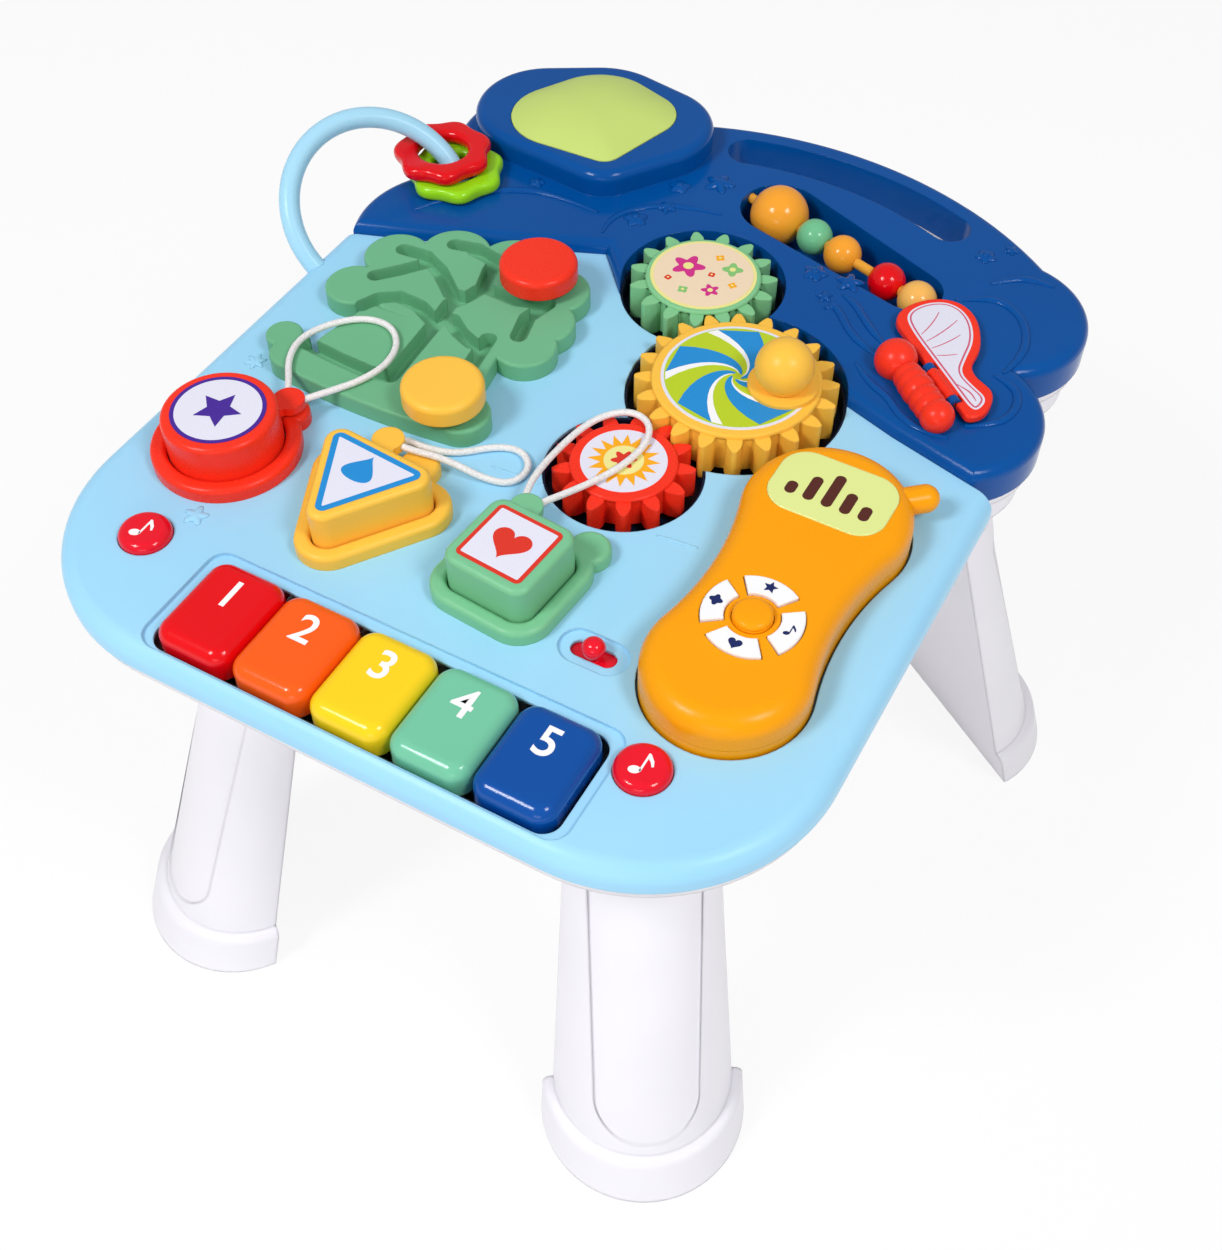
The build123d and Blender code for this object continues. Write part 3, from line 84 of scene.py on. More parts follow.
# Moulded ABS: a broad tone drift from the melt, a fine mould grain and edges rounded by the tool
def mouldedPlastic(name, colour, deep, rough=0.3, grainDepth=0.03, edge=0.6, coat=0.0, shine=0.22):
    material, tree = blankMaterial(name)
    place = addNode(tree, "ShaderNodeTexCoord").outputs["Object"]
    drift = addNode(tree, "ShaderNodeTexNoise", {"Scale": 1 / (70 * mm), "Detail": 2.0},
                    {"Vector": place})
    tone = addNode(tree, "ShaderNodeMapRange",
                   {"From Min": 0.3, "From Max": 0.7, "To Min": 0.0, "To Max": 0.5},
                   {"Value": drift.outputs["Fac"]})
    body = addNode(tree, "ShaderNodeMix", {"data_type": "RGBA", 6: linear(colour), 7: linear(deep)},
                   {0: tone.outputs["Result"]})
    # real mould grain is about 0.2 mm; drawn coarser so that it shows
    speck = addNode(tree, "ShaderNodeTexNoise", {"Scale": 1 / (1.2 * mm), "Detail": 2.0},
                    {"Vector": place})
    dull = addNode(tree, "ShaderNodeMapRange",
                   {"From Min": 0.3, "From Max": 0.7, "To Min": rough - 0.02, "To Max": rough + 0.03},
                   {"Value": speck.outputs["Fac"]})
    corner = addNode(tree, "ShaderNodeBevel", {"samples": 4, "Radius": edge * mm})
    bump = addNode(tree, "ShaderNodeBump", {"Strength": grainDepth, "Distance": 0.1 * mm},
                   {"Height": speck.outputs["Fac"], "Normal": corner.outputs["Normal"]})
    shader = addNode(tree, "ShaderNodeBsdfPrincipled",
                     {"IOR": 1.5, "Specular IOR Level": shine, "Coat Weight": coat, "Coat Roughness": 0.08},
                     {"Base Color": body.outputs[2], "Roughness": dull.outputs["Result"],
                      "Normal": bump.outputs["Normal"]})
    addNode(tree, "ShaderNodeOutputMaterial", {}, {"Surface": shader.outputs["BSDF"]})
    return material


# Satin shells have a spark-eroded mould grain, gloss pieces a polished one
satinBlue = mouldedPlastic("SatinSkyAbs", "#A4DDFB", "#9AD4F7", rough=0.33, grainDepth=0.04, edge=0.8)
deepBlue = mouldedPlastic("SatinNavyAbs", "#0052A0", "#004A96", rough=0.16, grainDepth=0.015, edge=0.9,
                          shine=0.2)
# the gear pits' lining is dark navy as painted shade: it stands in for the shade inside the pits
pitShade = mouldedPlastic("PaintedPitShadeNavy", "#16213F", "#101A33", rough=0.5)
legWhite = mouldedPlastic("SatinWhitePp", "#F4F2F8", "#ECEAF1", rough=0.34, edge=2.4)
mazeGreen = mouldedPlastic("SatinSageAbs", "#73BA8E", "#6AB084", rough=0.36, grainDepth=0.04, edge=0.9)
blockGreen = mouldedPlastic("GlossMintAbs", "#7FC798", "#76BE8F", rough=0.3, edge=0.8)
gearGreen = mouldedPlastic("SatinMintAbs", "#88CC95", "#7EC38B", rough=0.36, edge=0.8)
keyGreen = mouldedPlastic("GlossJadeAbs", "#78C9A6", "#6EC09C", rough=0.17, grainDepth=0.01, coat=0.25)
flameRed = mouldedPlastic("GlossFlameAbs", "#FC3822", "#F12E18", rough=0.28, edge=0.8)
keyRed = mouldedPlastic("GlossScarletAbs", "#EC0311", "#DE020D", rough=0.17, grainDepth=0.01, coat=0.25)
buttonRed = mouldedPlastic("GlossCrimsonAbs", "#F0102A", "#E00A22", rough=0.14, grainDepth=0.01, coat=0.3)
keyOrange = mouldedPlastic("GlossTangerineAbs", "#FE6316", "#F65A10", rough=0.17, grainDepth=0.01, coat=0.25)
keyYellow = mouldedPlastic("GlossLemonAbs", "#FFD71E", "#F9CD14", rough=0.17, grainDepth=0.01, coat=0.25)
keyBlue = mouldedPlastic("GlossCobaltAbs", "#0150A6", "#014898", rough=0.17, grainDepth=0.01, coat=0.25)
amber = mouldedPlastic("SatinAmberAbs", "#FFC84C", "#FABE41", rough=0.32, edge=0.8)
beadAmber = mouldedPlastic("GlossAmberAbs", "#FDA932", "#F79F28", rough=0.18, grainDepth=0.01, coat=0.2)
beadPale = mouldedPlastic("GlossApricotAbs", "#FABE60", "#F3B455", rough=0.18, grainDepth=0.01, coat=0.2)
beadGreen = mouldedPlastic("GlossSageAbs", "#76C796", "#6CBD8C", rough=0.18, grainDepth=0.01, coat=0.2)
limeRing = mouldedPlastic("GlossLimeAbs", "#9CE01A", "#92D610", rough=0.2, grainDepth=0.01, coat=0.2)
tubeBlue = mouldedPlastic("GlossSkyPe", "#AEE1FA", "#A3D8F4", rough=0.26, grainDepth=0.03)
padLime = mouldedPlastic("FrostedLimePc", "#CDE27C", "#C5DB73", rough=0.42, grainDepth=0.05)
phoneOrange = mouldedPlastic("GlossMangoAbs", "#FEA50C", "#F89B05", rough=0.26, grainDepth=0.01, shine=0.16)
screenLime = mouldedPlastic("GlossPaleLimePc", "#E6EF98", "#DEE78C", rough=0.16, grainDepth=0.01, coat=0.3)
dialWhite = mouldedPlastic("GlossWhiteAbs", "#FAFAFC", "#F1F1F5", rough=0.2, grainDepth=0.02)
rodAmber = mouldedPlastic("SatinHoneyAbs", "#F2AC3C", "#E8A032", rough=0.3)
rubberGrey = mouldedPlastic("MattSiliconeRubber", "#8C8C90", "#7E7E83", rough=0.7)
boardGreen = mouldedPlastic("SolderMaskLaminate", "#1F5B36", "#184C2C", rough=0.35)
cellGrey = mouldedPlastic("PrintedSteelSleeve", "#3A3C40", "#2F3135", rough=0.35)
coneBlack = mouldedPlastic("PressedPaperCone", "#232325", "#1B1B1D", rough=0.7)


# Zinc-plated steel: bright, with the fine drawing lines of turned stock
def platedSteel(name):
    material, tree = blankMaterial(name)
    place = addNode(tree, "ShaderNodeTexCoord").outputs["Object"]
    # real drawing lines are finer than 0.1 mm; drawn coarser so that they show
    lines = addNode(tree, "ShaderNodeTexNoise", {"Scale": 1 / (0.8 * mm), "Detail": 2.0},
                    {"Vector": place})
    dull = addNode(tree, "ShaderNodeMapRange", {"To Min": 0.22, "To Max": 0.38},
                   {"Value": lines.outputs["Fac"]})
    shader = addNode(tree, "ShaderNodeBsdfPrincipled", {"Base Color": linear("#C4C5C8"), "Metallic": 1.0},
                     {"Roughness": dull.outputs["Result"]})
    addNode(tree, "ShaderNodeOutputMaterial", {}, {"Surface": shader.outputs["BSDF"]})
    return material


steel = platedSteel("ZincPlatedSteel")


# Screen-printed ink on vinyl film: even, slightly glossy, with a faint dot of the print mesh
def printedFilm(name, colour, deep, rough=0.28):
    material, tree = blankMaterial(name)
    place = addNode(tree, "ShaderNodeTexCoord").outputs["Object"]
    # real print dots are about 0.2 mm; drawn coarser so that they show
    dots = addNode(tree, "ShaderNodeTexVoronoi", {"Scale": 1 / (0.7 * mm)}, {"Vector": place})
    cover = addNode(tree, "ShaderNodeMapRange",
                    {"From Min": 0.2, "From Max": 0.7, "To Min": 0.0, "To Max": 0.35},
                    {"Value": dots.outputs["Distance"]})
    ink = addNode(tree, "ShaderNodeMix", {"data_type": "RGBA", 6: linear(colour), 7: linear(deep)},
                  {0: cover.outputs["Result"]})
    shader = addNode(tree, "ShaderNodeBsdfPrincipled",
                     {"IOR": 1.5, "Roughness": rough, "Specular IOR Level": 0.25},
                     {"Base Color": ink.outputs[2]})
    addNode(tree, "ShaderNodeOutputMaterial", {}, {"Surface": shader.outputs["BSDF"]})
    return material


filmWhite = printedFilm("WhiteVinylFilm", "#E9E8F6", "#DEDDF0")
inkWhite = printedFilm("WhitePadInk", "#FBFBFD", "#F2F2F6")
inkPurple = printedFilm("PurpleVinylInk", "#4A2A9C", "#40228C")
inkBlue = printedFilm("AzureVinylInk", "#2592DA", "#1C84CC")
inkRed = printedFilm("RedVinylInk", "#E23A2A", "#D62E20")
inkCream = printedFilm("CreamVinylInk", "#F6DFC0", "#EED4B2")
inkButter = printedFilm("ButterVinylInk", "#F4EC9A", "#EAE18A")
inkPink = printedFilm("PinkVinylInk", "#D9338F", "#C92A82")
inkLeaf = printedFilm("LeafVinylInk", "#8CCB7A", "#7FBF6D")
inkLime = printedFilm("LimeVinylInk", "#BFD62B", "#B2CA20")
inkSun = printedFilm("SunVinylInk", "#FFB31E", "#F7A512")
inkBrown = printedFilm("CocoaPadInk", "#5A2A22", "#4E221B")
inkNavy = printedFilm("NavyPadInk", "#1C2A66", "#16235A")
inkRose = printedFilm("RoseVinylInk", "#D8627E", "#CC5472")


# Braided polyester: strands cross about every 1.2 mm, with a soft sheen and painted shade in the gaps between
# them
def braidedCord(name):
    material, tree = blankMaterial(name)
    place = addNode(tree, "ShaderNodeTexCoord").outputs["Object"]
    weave = addNode(tree, "ShaderNodeTexVoronoi", {"Scale": 1 / (1.2 * mm)}, {"Vector": place})
    # the gaps between strands are painted a little greyer: painted shade in the grooves
    gapShade = addNode(tree, "ShaderNodeMix",
                   {"data_type": "RGBA", 6: linear("#FAF9F9"), 7: linear("#DEDCDE")},
                   {0: weave.outputs["Distance"]})
    bump = addNode(tree, "ShaderNodeBump", {"Strength": 0.5, "Distance": 0.25 * mm, "invert": True},
                   {"Height": weave.outputs["Distance"]})
    shader = addNode(tree, "ShaderNodeBsdfPrincipled", {"Roughness": 0.62, "Sheen Weight": 0.25},
                     {"Base Color": gapShade.outputs[2], "Normal": bump.outputs["Normal"]})
    addNode(tree, "ShaderNodeOutputMaterial", {}, {"Surface": shader.outputs["BSDF"]})
    return material


cordWhite = braidedCord("BraidedPolyester")
print("materials made:", len(bpy.data.materials))

# What each CAD node is made of
finishes = [
    (satinBlue, ["front_panel"]), (deepBlue, ["rear_panel"]), (pitShade, ["gear_tray"]),
    (legWhite, ["bottom_tray", "battery_door", "leg_front_left", "leg_front_right", "leg_rear_left",
                "leg_rear_right"]),
    (mazeGreen, ["maze_plate"]), (blockGreen, ["block_square", "socket_square"]), (gearGreen, ["gear_green"]),
    (flameRed, ["block_round", "socket_round", "gear_red", "maze_knob_red", "dragonfly_body",
                "dragonfly_wing"]),
    (amber, ["block_triangle", "socket_triangle", "gear_yellow", "maze_knob_yellow", "crank_knob"]),
    (keyRed, ["key_red", "bead_red"]), (keyOrange, ["key_orange"]), (keyYellow, ["key_yellow"]),
    (keyGreen, ["key_green"]), (keyBlue, ["key_blue"]),
    (buttonRed, ["music_button_left", "music_button_right", "power_switch"]),
    (beadAmber, ["bead_large", "bead_orange"]), (beadPale, ["bead_pale"]), (beadGreen, ["bead_green"]),
    (tubeBlue, ["ring_tube"]),
    (phoneOrange, ["phone_back", "phone_shell", "phone_center_button"]), (screenLime, ["phone_screen"]),
    (dialWhite, ["phone_button_top", "phone_button_right", "phone_button_bottom", "phone_button_left"]),
    (rodAmber, ["bead_rod"]), (rubberGrey, ["contact_mat"]), (boardGreen, ["circuit_board"]),
    (cellGrey, ["battery_cells"]), (coneBlack, ["speaker"]),
    (steel, ["case_screws", "key_pivot_rod", "wing_hinge_pin"]),
]
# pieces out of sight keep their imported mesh
inside = {"contact_mat", "circuit_board", "battery_cells", "speaker", "key_pivot_rod"}
bodyOf = {node: body for body, members in frame["record"]["behaviour"]["bodies"].items() for node in members}


def shade(bm, angle):
    for face in bm.faces:
        face.smooth = True
    for edge in bm.edges:
        edge.smooth = len(edge.link_faces) == 2 and edge.calc_face_angle(0.0) < radians(angle)


def finishPiece(bm, name, body, inks, angle=32, outward=True):
    if outward:
        bmesh.ops.recalc_face_normals(bm, faces=bm.faces)
    shade(bm, angle)
    mesh = bpy.data.meshes.new(name)
    bm.to_mesh(mesh)
    bm.free()
    for ink in inks:
        mesh.materials.append(ink)
    piece = bpy.data.objects.new(name, mesh)
    bpy.context.scene.collection.objects.link(piece)
    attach(piece, body)
    return piece


# Gears: the teeth rise to just under the disc, and the disc's reach stands clear of the next gear's teeth
gearPlan = {
    "toothTop": 5.0,
    "gear_red": {"centre": (28.588, -36.835), "top": 6.5, "rise": 0.0, "reach": 23.1},
    "gear_yellow": {"centre": (49.0, 28.7), "top": 11.0, "rise": 4.0, "reach": 37.6},
    "gear_green": {"centre": (3.582, 85.595), "top": 10.0, "rise": 3.4, "reach": 27.2},
}


def raiseTeeth(bm, node):
    plan = gearPlan[node]
    centre, foot = spot(*plan["centre"]).xy, spot(0, 0, gearPlan["toothTop"]).z
    near = 0.01 * mm
    rim = max((vert.co.xy - centre).length for vert in bm.verts if vert.co.z > foot + near)
    for vert in bm.verts:
        away = vert.co.xy - centre
        atFoot = abs(vert.co.z - foot) < near
        if vert.co.z > foot + near or (atFoot and abs(away.length - rim) < 2 * near):
            vert.co.xy = centre + away * (plan["reach"] * mm / rim)
        if atFoot:
            vert.co.z += plan["rise"] * mm


def dressNode(node, finish):
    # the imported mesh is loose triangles: a merged copy takes smooth shading
    bm = bmesh.new()
    bm.from_mesh(nodes[node].data)
    bmesh.ops.remove_doubles(bm, verts=bm.verts, dist=weld)
    if node in gearPlan:
        raiseTeeth(bm, node)
    piece = finishPiece(bm, node + "_skin", bodyOf[node], [finish], angle=33, outward=False)
    even = piece.modifiers.new("flats", "WEIGHTED_NORMAL")
    even.keep_sharp = True
    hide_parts(node)


for finish, members in finishes:
    for node in members:
        if node in inside:
            nodes[node].data.materials.clear()
            nodes[node].data.materials.append(finish)
        else:
            dressNode(node, finish)
print("CAD nodes dressed")

# Cords of the three blocks, both ends in the block's tab
cordRoutes = {
    "diameter": 3.0,
    "round": ("round_block", "cord_round", 0.1575, [
        (-115.2, -78.2, 10.0), (-121.0, -69.0, 10.4), (-130.0, -57.5, 10.8), (-134.0, -43.5, 10.8),
        (-128.0, -29.0, 10.8), (-117.0, -18.0, 10.8), (-103.5, -16.0, 10.8), (-93.0, -25.0, 10.8),
        (-89.5, -39.0, 10.8), (-93.5, -53.5, 10.8), (-102.0, -66.0, 10.6), (-108.5, -74.5, 10.2),
        (-111.8, -79.8, 10.0)]),
    "triangle": ("triangle_block", "cord_triangle", 0.1363, [
        (-63.8, -79.0, 10.0), (-60.0, -72.0, 7.8), (-50.0, -69.0, 3.8), (-38.0, -64.0, 1.8),
        (-25.5, -51.5, 1.8), (-13.9, -48.4, 1.8), (-5.4, -56.9, 1.8), (-8.5, -68.5, 1.8),
        (-20.1, -71.6, 3.0), (-30.0, -73.5, 6.8), (-38.0, -75.2, 9.2), (-46.0, -77.2, 10.0),
        (-53.5, -78.3, 10.2), (-60.2, -78.0, 10.0)]),
    "square": ("square_block", "cord_square", 0.1641, [
        (7.2, -84.2, 10.0), (3.0, -73.0, 9.5), (1.5, -60.0, 9.0), (2.0, -46.0, 8.6), (4.0, -31.0, 8.6),
        (8.5, -19.0, 8.6), (17.5, -10.5, 8.6), (28.5, -13.0, 8.8), (33.5, -25.0, 8.8), (31.0, -41.0, 8.8),
        (24.5, -56.0, 8.8), (17.5, -69.0, 9.4), (12.8, -77.0, 10.0), (10.8, -82.8, 10.0)]),
}


def layCord(kind):
    body, node, length, route = cordRoutes[kind]
    curve = bpy.data.curves.new(kind + "_loop", "CURVE")
    curve.dimensions = "3D"
    curve.bevel_depth = cordRoutes["diameter"] / 2 * mm
    curve.bevel_resolution = 5
    curve.resolution_u = 10
    line = curve.splines.new("NURBS")
    line.points.add(len(route) - 1)
    for point, place in zip(line.points, route):
        point.co = (*spot(*place), 1.0)
    line.order_u = 3
    line.use_endpoint_u = True
    curve.materials.append(cordWhite)
    loop = bpy.data.objects.new(kind + "_loop", curve)
    bpy.context.scene.collection.objects.link(loop)
    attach(loop, body)
    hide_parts(node)


for kind in ("round", "triangle", "square"):
    layCord(kind)
print("cords laid")


def thicken(bm, height, soft=0.0):
    # a flat outline becomes a plate with a softened top edge
    lifted = bmesh.ops.extrude_face_region(bm, geom=bm.faces[:])
    top = [item for item in lifted["geom"] if isinstance(item, bmesh.types.BMVert)]
    bmesh.ops.translate(bm, verts=top, vec=(0, 0, height * mm))
    if soft:
        rim = set(top)
        loop = [edge for edge in bm.edges if edge.verts[0] in rim and edge.verts[1] in rim
                and any(abs(face.normal.z) < 0.5 for face in edge.link_faces)]
        bmesh.ops.bevel(bm, geom=loop, offset=soft * mm, affect="EDGES", segments=3, profile=0.5,
                        material=-1)


def disc(radius, count=72):
    bm = bmesh.new()
    bmesh.ops.create_circle(bm, cap_ends=True, radius=radius * mm, segments=count)
    return bm


def lobed(radius, lobes, depth, count=60, sharp=False):
    # a circle drawn in between its lobes: petals, or points where sharp
    bm = bmesh.new()
    ring = bmesh.ops.create_circle(bm, cap_ends=True, radius=radius * mm, segments=count)
    for vert in ring["verts"]:
        turn = atan2(vert.co.y, vert.co.x) - pi / 2
        if sharp:
            dip = 1 - 2 * abs((lobes * turn / (2 * pi)) % 1.0 - 0.5)
        else:
            dip = 0.5 - 0.5 * cos(lobes * turn)
        vert.co *= 1 - depth * dip
    return bm


def heartDisc(width):
    # the common heart curve, 32 units wide as written
    bm = bmesh.new()
    ring = bmesh.ops.create_circle(bm, cap_ends=True, radius=1.0, segments=48)
    for vert in ring["verts"]:
        t = atan2(vert.co.y, vert.co.x)
        x = 16 * sin(t) ** 3
        y = 13 * cos(t) - 5 * cos(2 * t) - 2 * cos(3 * t) - cos(4 * t)
        vert.co = Vector((x, y, 0)) * (width / 32 * mm)
    return bm


def dropDisc(width, height):
    bm = bmesh.new()
    ring = bmesh.ops.create_circle(bm, cap_ends=True, radius=1.0, segments=48)
    for vert in ring["verts"]:
        t = atan2(vert.co.y, vert.co.x)
        vert.co = Vector((width * mm * cos(t) * (0.5 - 0.5 * sin(t)), height / 2 * mm * sin(t), 0))
    return bm


def roundedPlate(width, length, corner):
    bm = bmesh.new()
    bmesh.ops.create_grid(bm, x_segments=1, y_segments=1, size=0.5)
    bmesh.ops.scale(bm, vec=(width * mm, length * mm, 1), verts=bm.verts)
    if corner:
        bmesh.ops.bevel(bm, geom=bm.verts[:], offset=corner * mm, affect="VERTICES", segments=8, profile=0.5,
                        material=-1)
    return bm


def putAt(bm, x, y, level, turn=0.0):
    bmesh.ops.rotate(bm, verts=bm.verts, cent=(0, 0, 0), matrix=Matrix.Rotation(radians(turn), 3, "Z"))
    bmesh.ops.translate(bm, verts=bm.verts, vec=spot(x, y, level))


def topOutline(node):
    # one flat face as large as the node's highest flat
    bm = bmesh.new()
    bm.from_mesh(nodes[node].data)
    bmesh.ops.remove_doubles(bm, verts=bm.verts, dist=weld)
    high = max(vert.co.z for vert in bm.verts)
    flat, near = 0.999, 0.05 * mm
    rest = [face for face in bm.faces
            if face.normal.z < flat or abs(face.calc_center_median().z - high) > near]
    bmesh.ops.delete(bm, geom=rest, context="FACES")
    bmesh.ops.dissolve_faces(bm, faces=bm.faces[:])
    return bm


# Stickers: film and ink are drawn thicker than real ones, so that each layer shows over the one below
stickerPlan = {"film": 0.2, "ink": 0.12, "line": 0.14, "motif": 0.15, "print": 0.1, "eye": 0.08, "gap": 0.02}
onFilm = stickerPlan["film"] + stickerPlan["gap"]
onInk = stickerPlan["ink"] + stickerPlan["gap"]


def insetFace(bm, margin):
    bmesh.ops.inset_region(bm, faces=bm.faces[:], thickness=margin * mm, use_boundary=True,
                           use_even_offset=True)
    return max(bm.faces, key=lambda face: face.calc_area())


def borderSticker(node, name, body, margin, border, inks):
    # white film with a coloured border, cut to the block's own top
    bm = topOutline(node)
    inner = insetFace(bm, margin)
    bmesh.ops.delete(bm, geom=[face for face in bm.faces if face is not inner], context="FACES")
    inner = insetFace(bm, border)
    for face in bm.faces:
        face.material_index = 0 if face is inner else 1
    thicken(bm, stickerPlan["film"])
    bmesh.ops.translate(bm, verts=bm.verts, vec=(0, 0, stickerPlan["gap"] * mm))
    finishPiece(bm, name, body, inks)


def stuckOn(bm, name, body, ink, x, y, level, turn, height, soft=0.0):
    thicken(bm, height, soft)
    putAt(bm, x, y, level, turn)
    finishPiece(bm, name, body, [ink])


# Rings with soft lobes, spun from one rounded section
ringPlan = {"hole": 12.4, "reach": 24.8, "thickness": 7.0, "corner": 3.1, "lobes": 7, "dip": 2.6,
            "steps": 112}


def lobedRing(node, finish):
    low, high = (Vector(corner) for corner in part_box(node))
    width = ringPlan["reach"] - ringPlan["hole"]
    bm = roundedPlate(width, ringPlan["thickness"], ringPlan["corner"])
    bmesh.ops.delete(bm, geom=bm.faces[:], context="FACES_ONLY")
    bmesh.ops.rotate(bm, verts=bm.verts, cent=(0, 0, 0), matrix=Matrix.Rotation(pi / 2, 3, "X"))
    bmesh.ops.translate(bm, verts=bm.verts, vec=((ringPlan["hole"] + width / 2) * mm, 0, 0))
    bmesh.ops.spin(bm, geom=bm.verts[:] + bm.edges[:], cent=(0, 0, 0), axis=(0, 0, 1), angle=2 * pi,
                   steps=ringPlan["steps"], use_merge=True)
    for vert in bm.verts:
        turn = atan2(vert.co.y, vert.co.x)
        share = (vert.co.xy.length / mm - ringPlan["hole"]) / width
        wave = 0.5 - 0.5 * cos(ringPlan["lobes"] * turn)
        vert.co.xy *= 1 - ringPlan["dip"] / ringPlan["reach"] * share * wave
    bmesh.ops.translate(bm, verts=bm.verts, vec=(low + high) / 2)
    piece = finishPiece(bm, node + "_skin", bodyOf[node], [finish], angle=60)
    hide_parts(node)


lobedRing("ring_green", limeRing)
lobedRing("ring_red", keyRed)
print("rings spun")


def growEdges(bm, edges):
    # new corners and the edges between them, drawn out of the old edges
    grown = bmesh.ops.extrude_edge_only(bm, edges=edges)["geom"]
    verts = [item for item in grown if isinstance(item, bmesh.types.BMVert)]
    outer = [item for item in grown
             if isinstance(item, bmesh.types.BMEdge) and all(vert in verts for vert in item.verts)]
    return verts, outer


def domeUp(bm, rim, middle, crown, rings, fullness):
    # rings drawn inwards and upwards from a closed rim, then capped
    share, rise = 1.0, 0.0
    for ring in range(1, rings):
        verts, rim = growEdges(bm, rim)
        nextShare = 1.0 - ring / rings
        nextRise = crown * (1 - nextShare ** fullness)
        bmesh.ops.scale(bm, vec=(nextShare / share, nextShare / share, 1), verts=verts,
                        space=Matrix.Translation(-middle))
        bmesh.ops.translate(bm, verts=verts, vec=(0, 0, (nextRise - rise) * mm))
        share, rise = nextShare, nextRise
    bmesh.ops.contextual_create(bm, geom=rim)


# Light pad: the moulded rim and flange, with a low dome drawn up from the rim
padPlan = {"seat": 19.3, "crown": 6.6, "rings": 18, "fullness": 2.4}


def domedPad(node, finish):
    bm = bmesh.new()
    bm.from_mesh(nodes[node].data)
    bmesh.ops.remove_doubles(bm, verts=bm.verts, dist=weld)
    cut = bmesh.ops.bisect_plane(bm, geom=bm.verts[:] + bm.edges[:] + bm.faces[:], dist=0.001 * mm,
                                 plane_co=spot(0, 0, padPlan["seat"]), plane_no=(0, 0, 1), clear_outer=True)
    rim = [item for item in cut["geom_cut"] if isinstance(item, bmesh.types.BMEdge)]
    low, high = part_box(node)
    domeUp(bm, rim, (low + high) / 2, padPlan["crown"], padPlan["rings"], padPlan["fullness"])
    piece = finishPiece(bm, node + "_skin", bodyOf[node], [finish], angle=33)
    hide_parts(node)


domedPad("dome_cover", padLime)
print("pad domed")

# Block stickers: a bordered film and one motif each
blockPlan = {
    "top": 23.0, "turn": -5.0,
    "round": {"centre": (-126.3, -107.8), "margin": 2.0, "border": 1.8, "ink": inkPurple},
    "triangle": {"centre": (-53.7, -107.0), "margin": 1.4, "border": 2.6, "ink": inkBlue},
    "square": {"centre": (19.7, -112.7), "margin": 2.0, "border": 1.8, "ink": inkRed},
}
for kind in ("round", "triangle", "square"):
    plan = blockPlan[kind]
    borderSticker("block_" + kind, kind + "_sticker", kind + "_block", plan["margin"], plan["border"],
                  [filmWhite, plan["ink"]])
print("block stickers cut")
for kind, motif, shape in [("round", "star", lobed(10.5, 5, 0.52, count=10, sharp=True)),
                           ("triangle", "drop", dropDisc(11.0, 15.0)), ("square", "heart", heartDisc(17.0))]:
    stuckOn(shape, kind + "_" + motif, kind + "_block", blockPlan[kind]["ink"], *blockPlan[kind]["centre"],
            blockPlan["top"] + onFilm, blockPlan["turn"], stickerPlan["motif"])
print("block motifs set")


def meshOf(data):
    # a curve or type becomes one welded mesh with a single ink
    model = bpy.data.objects.new("model", data)
    bpy.context.scene.collection.objects.link(model)
    mesh = bpy.data.meshes.new_from_object(model.evaluated_get(bpy.context.evaluated_depsgraph_get()))
    bpy.data.objects.remove(model)
    bm = bmesh.new()
    bm.from_mesh(mesh)
    bpy.data.meshes.remove(mesh)
    bmesh.ops.remove_doubles(bm, verts=bm.verts, dist=0.005 * mm)
    for face in bm.faces:
        face.material_index = 0
    return bm


# Numbers on the keys, in the built-in face
keyPlan = {"first": -70.0, "pitch": 36.0, "names": ["red", "orange", "yellow", "green", "blue"],
           "label": -177.0, "top": 6.56, "size": 19.0, "bold": 0.25, "thick": 0.08}


def numeral(text, name, body, x):
    letters = bpy.data.curves.new(name + "_type", "FONT")
    letters.body = text
    letters.align_x = "CENTER"
    letters.align_y = "CENTER"
    letters.size = keyPlan["size"] * mm
    letters.offset = keyPlan["bold"] * mm
    letters.extrude = keyPlan["thick"] * mm
    letters.resolution_u = 6
    bm = meshOf(letters)
    putAt(bm, x, keyPlan["label"], keyPlan["top"])
    finishPiece(bm, name, body, [inkWhite])


for index, colour in enumerate(keyPlan["names"]):
    numeral(str(index + 1), "key_number_" + colour, colour + "_key",
            keyPlan["first"] + index * keyPlan["pitch"])
print("keys numbered")


# A quaver for the music buttons and the dial: head, stem and flag
quaverPlan = {"head": 1.9, "oval": (1.2, 0.85, 1), "lean": radians(22), "place": (-1.6, -3.4),
              "stem": [(-0.05, -3.2), (0.75, -3.2), (0.75, 5.0), (-0.05, 5.0)],
              "flag": [(0.75, 5.0), (0.75, 2.9), (2.0, 1.9), (3.2, 0.2), (3.9, 0.6), (3.1, 2.6), (1.9, 3.8)]}


def quaver(scale):
    bm = bmesh.new()
    head = bmesh.ops.create_circle(bm, cap_ends=True, radius=quaverPlan["head"] * mm, segments=24)["verts"]
    bmesh.ops.scale(bm, vec=quaverPlan["oval"], verts=head)
    bmesh.ops.rotate(bm, verts=head, cent=(0, 0, 0), matrix=Matrix.Rotation(quaverPlan["lean"], 3, "Z"))
    x, y = quaverPlan["place"]
    bmesh.ops.translate(bm, verts=head, vec=(x * mm, y * mm, 0))
    for corners in (quaverPlan["stem"], quaverPlan["flag"]):
        bm.faces.new([bm.verts.new((x * mm, y * mm, 0)) for x, y in corners])
    bmesh.ops.scale(bm, vec=(scale, scale, 1), verts=bm.verts)
    return bm


buttonPlan = {"left": (-125.0, -164.0), "right": (108.0, -166.5), "top": 4.03, "noteScale": 1.05}
for side in ("left", "right"):
    stuckOn(quaver(buttonPlan["noteScale"]), "note_" + side, side + "_button", inkWhite, *buttonPlan[side],
            buttonPlan["top"], 0.0, stickerPlan["motif"])
print("buttons marked")


